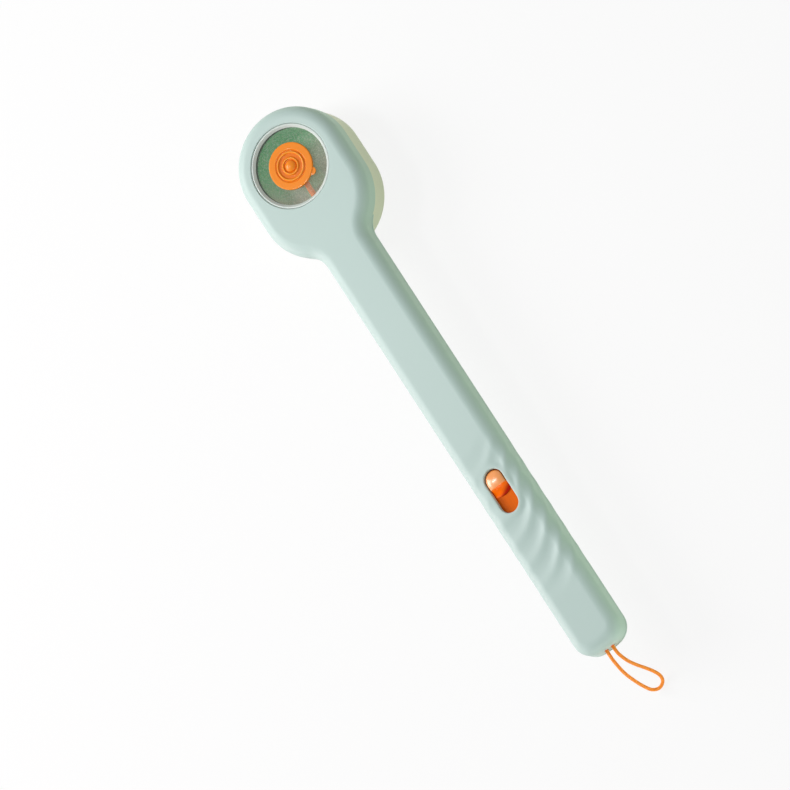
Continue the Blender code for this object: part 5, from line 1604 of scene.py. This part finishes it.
def studio_lamps(studio, floor):
    """Area lamps; the two low ones near the tail leave no bright patch on the floor."""
    unlit = bpy.data.collections.new("unlit_by_small_lamps")
    unlit.objects.link(floor)
    unlit.collection_objects[0].light_linking.link_state = "EXCLUDE"
    for name, size, place, target, tint in LAMPS:
        lamp = bpy.data.lights.new(name + "_lamp", "AREA")
        lamp.energy = getattr(studio, name + "_power")
        lamp.color = tint
        lamp.shape = "RECTANGLE"
        lamp.size, lamp.size_y = size
        holder = bpy.data.objects.new(name + "_lamp", lamp)
        holder.location = place
        towards = Vector(target) - Vector(place)
        holder.rotation_euler = towards.to_track_quat("-Z", "Y").to_euler()
        bpy.context.scene.collection.objects.link(holder)
        if name in LAMPS_OFF_FLOOR:
            holder.light_linking.receiver_collection = unlit


def studio_camera(studio):
    """Camera with the photograph's direction, roll and scale."""
    right = Vector((0.5179, 0.7461, -0.4186)).normalized()
    up = Vector((-0.7976, 0.5980, 0.0788))
    up = (up - right * up.dot(right)).normalized()
    back = right.cross(up)
    target = Vector(WINDOW) + right * studio.look_right - up * studio.look_down
    camera = bpy.data.cameras.new("photo_camera")
    camera.sensor_width = 36.0
    camera.lens = studio.scale * studio.distance / studio.frame_size * camera.sensor_width
    camera.clip_start, camera.clip_end = 0.1, 60.0
    holder = bpy.data.objects.new("photo_camera", camera)
    turn = Matrix((right, up, back)).transposed().to_4x4()
    holder.matrix_world = Matrix.Translation(target + back * studio.distance) @ turn
    bpy.context.scene.collection.objects.link(holder)
    bpy.context.scene.camera = holder


def stage():
    studio = settings("brush_studio")
    bpy.context.scene.view_settings.view_transform = "Standard"
    studio_world(studio)
    studio_lamps(studio, studio_floor(studio))
    studio_camera(studio)


# Add-on


class BRUSH_OT_finishes(bpy.types.Operator):
    """Make the brush's procedural finishes"""

    bl_idname = "brush.finishes"
    bl_label = "Finishes"

    def execute(self, context):
        make_finishes()
        return {"FINISHED"}


class BRUSH_OT_shells(bpy.types.Operator):
    """Build the mint upper shell and the underside cover, with the waved grip"""

    bl_idname = "brush.shells"
    bl_label = "Handle Shells"

    def execute(self, context):
        shells()
        return {"FINISHED"}


class BRUSH_OT_base(bpy.types.Operator):
    """Build the cream bristle base, the pad's retainer and the outlet nozzle"""

    bl_idname = "brush.base"
    bl_label = "Bristle Base"

    def execute(self, context):
        brush_base()
        pad_retainer()
        outlet_nozzle()
        return {"FINISHED"}


class BRUSH_OT_bristles(bpy.types.Operator):
    """Build the silicone pad with its bristles"""

    bl_idname = "brush.bristles"
    bl_label = "Bristles"

    def execute(self, context):
        bristle_pad()
        return {"FINISHED"}


class BRUSH_OT_window(bpy.types.Operator):
    """Build the window's ring and lens, and the reservoir cup under them"""

    bl_idname = "brush.window"
    bl_label = "Window and Reservoir"

    def execute(self, context):
        window_ring()
        window_lens()
        reservoir_cup()
        return {"FINISHED"}


class BRUSH_OT_plug(bpy.types.Operator):
    """Build the filler plug with its rings, dome and pull tab"""

    bl_idname = "brush.plug"
    bl_label = "Filler Plug"

    def execute(self, context):
        filler_plug()
        return {"FINISHED"}


class BRUSH_OT_slider(bpy.types.Operator):
    """Build the thumb button and the pull rod"""

    bl_idname = "brush.slider"
    bl_label = "Slider"

    def execute(self, context):
        slide_button()
        pull_rod()
        return {"FINISHED"}


class BRUSH_OT_inner_pieces(bpy.types.Operator):
    """Give the solids inside their finishes"""

    bl_idname = "brush.inner_pieces"
    bl_label = "Inner Pieces"

    def execute(self, context):
        inner_pieces()
        return {"FINISHED"}


class BRUSH_OT_cord(bpy.types.Operator):
    """Build the hanging cord"""

    bl_idname = "brush.cord"
    bl_label = "Hanging Cord"

    def execute(self, context):
        cord_loop()
        return {"FINISHED"}


class BRUSH_OT_stage(bpy.types.Operator):
    """Set up the floor, the soft lamps and the camera"""

    bl_idname = "brush.stage"
    bl_label = "Studio"

    def execute(self, context):
        stage()
        return {"FINISHED"}


STEPS = (
    BRUSH_OT_finishes,
    BRUSH_OT_shells,
    BRUSH_OT_base,
    BRUSH_OT_bristles,
    BRUSH_OT_window,
    BRUSH_OT_plug,
    BRUSH_OT_slider,
    BRUSH_OT_inner_pieces,
    BRUSH_OT_cord,
    BRUSH_OT_stage,
)
GROUPS = {
    "brush_body": BrushBody,
    "brush_grip": BrushGrip,
    "brush_window": BrushWindow,
    "brush_slider": BrushSlider,
    "brush_bristles": BrushBristles,
    "brush_cord": BrushCord,
    "brush_colours": BrushColours,
    "brush_studio": BrushStudio,
}


class BRUSH_PT_panel(bpy.types.Panel):
    """Steps that build the brush, and their settings"""

    bl_idname = "BRUSH_PT_panel"
    bl_label = "Bath Brush"
    bl_space_type = "VIEW_3D"
    bl_region_type = "UI"
    bl_category = "Bath Brush"

    def draw(self, context):
        column = self.layout.column(align=True)
        for step in STEPS:
            column.operator(step.bl_idname)
        for name, group in GROUPS.items():
            box = self.layout.box()
            for field in group.__annotations__:
                box.prop(getattr(context.scene, name), field)


def register():
    for name, group in GROUPS.items():
        bpy.utils.register_class(group)
        setattr(bpy.types.Scene, name, PointerProperty(type=group))
    for step in STEPS:
        bpy.utils.register_class(step)
    bpy.utils.register_class(BRUSH_PT_panel)


def unregister():
    bpy.utils.unregister_class(BRUSH_PT_panel)
    for step in reversed(STEPS):
        bpy.utils.unregister_class(step)
    for name, group in GROUPS.items():
        delattr(bpy.types.Scene, name)
        bpy.utils.unregister_class(group)


def main():
    register()
    for step in STEPS:
        group, action = step.bl_idname.split(".")
        getattr(getattr(bpy.ops, group), action)()


if __name__ == "__main__":
    main()
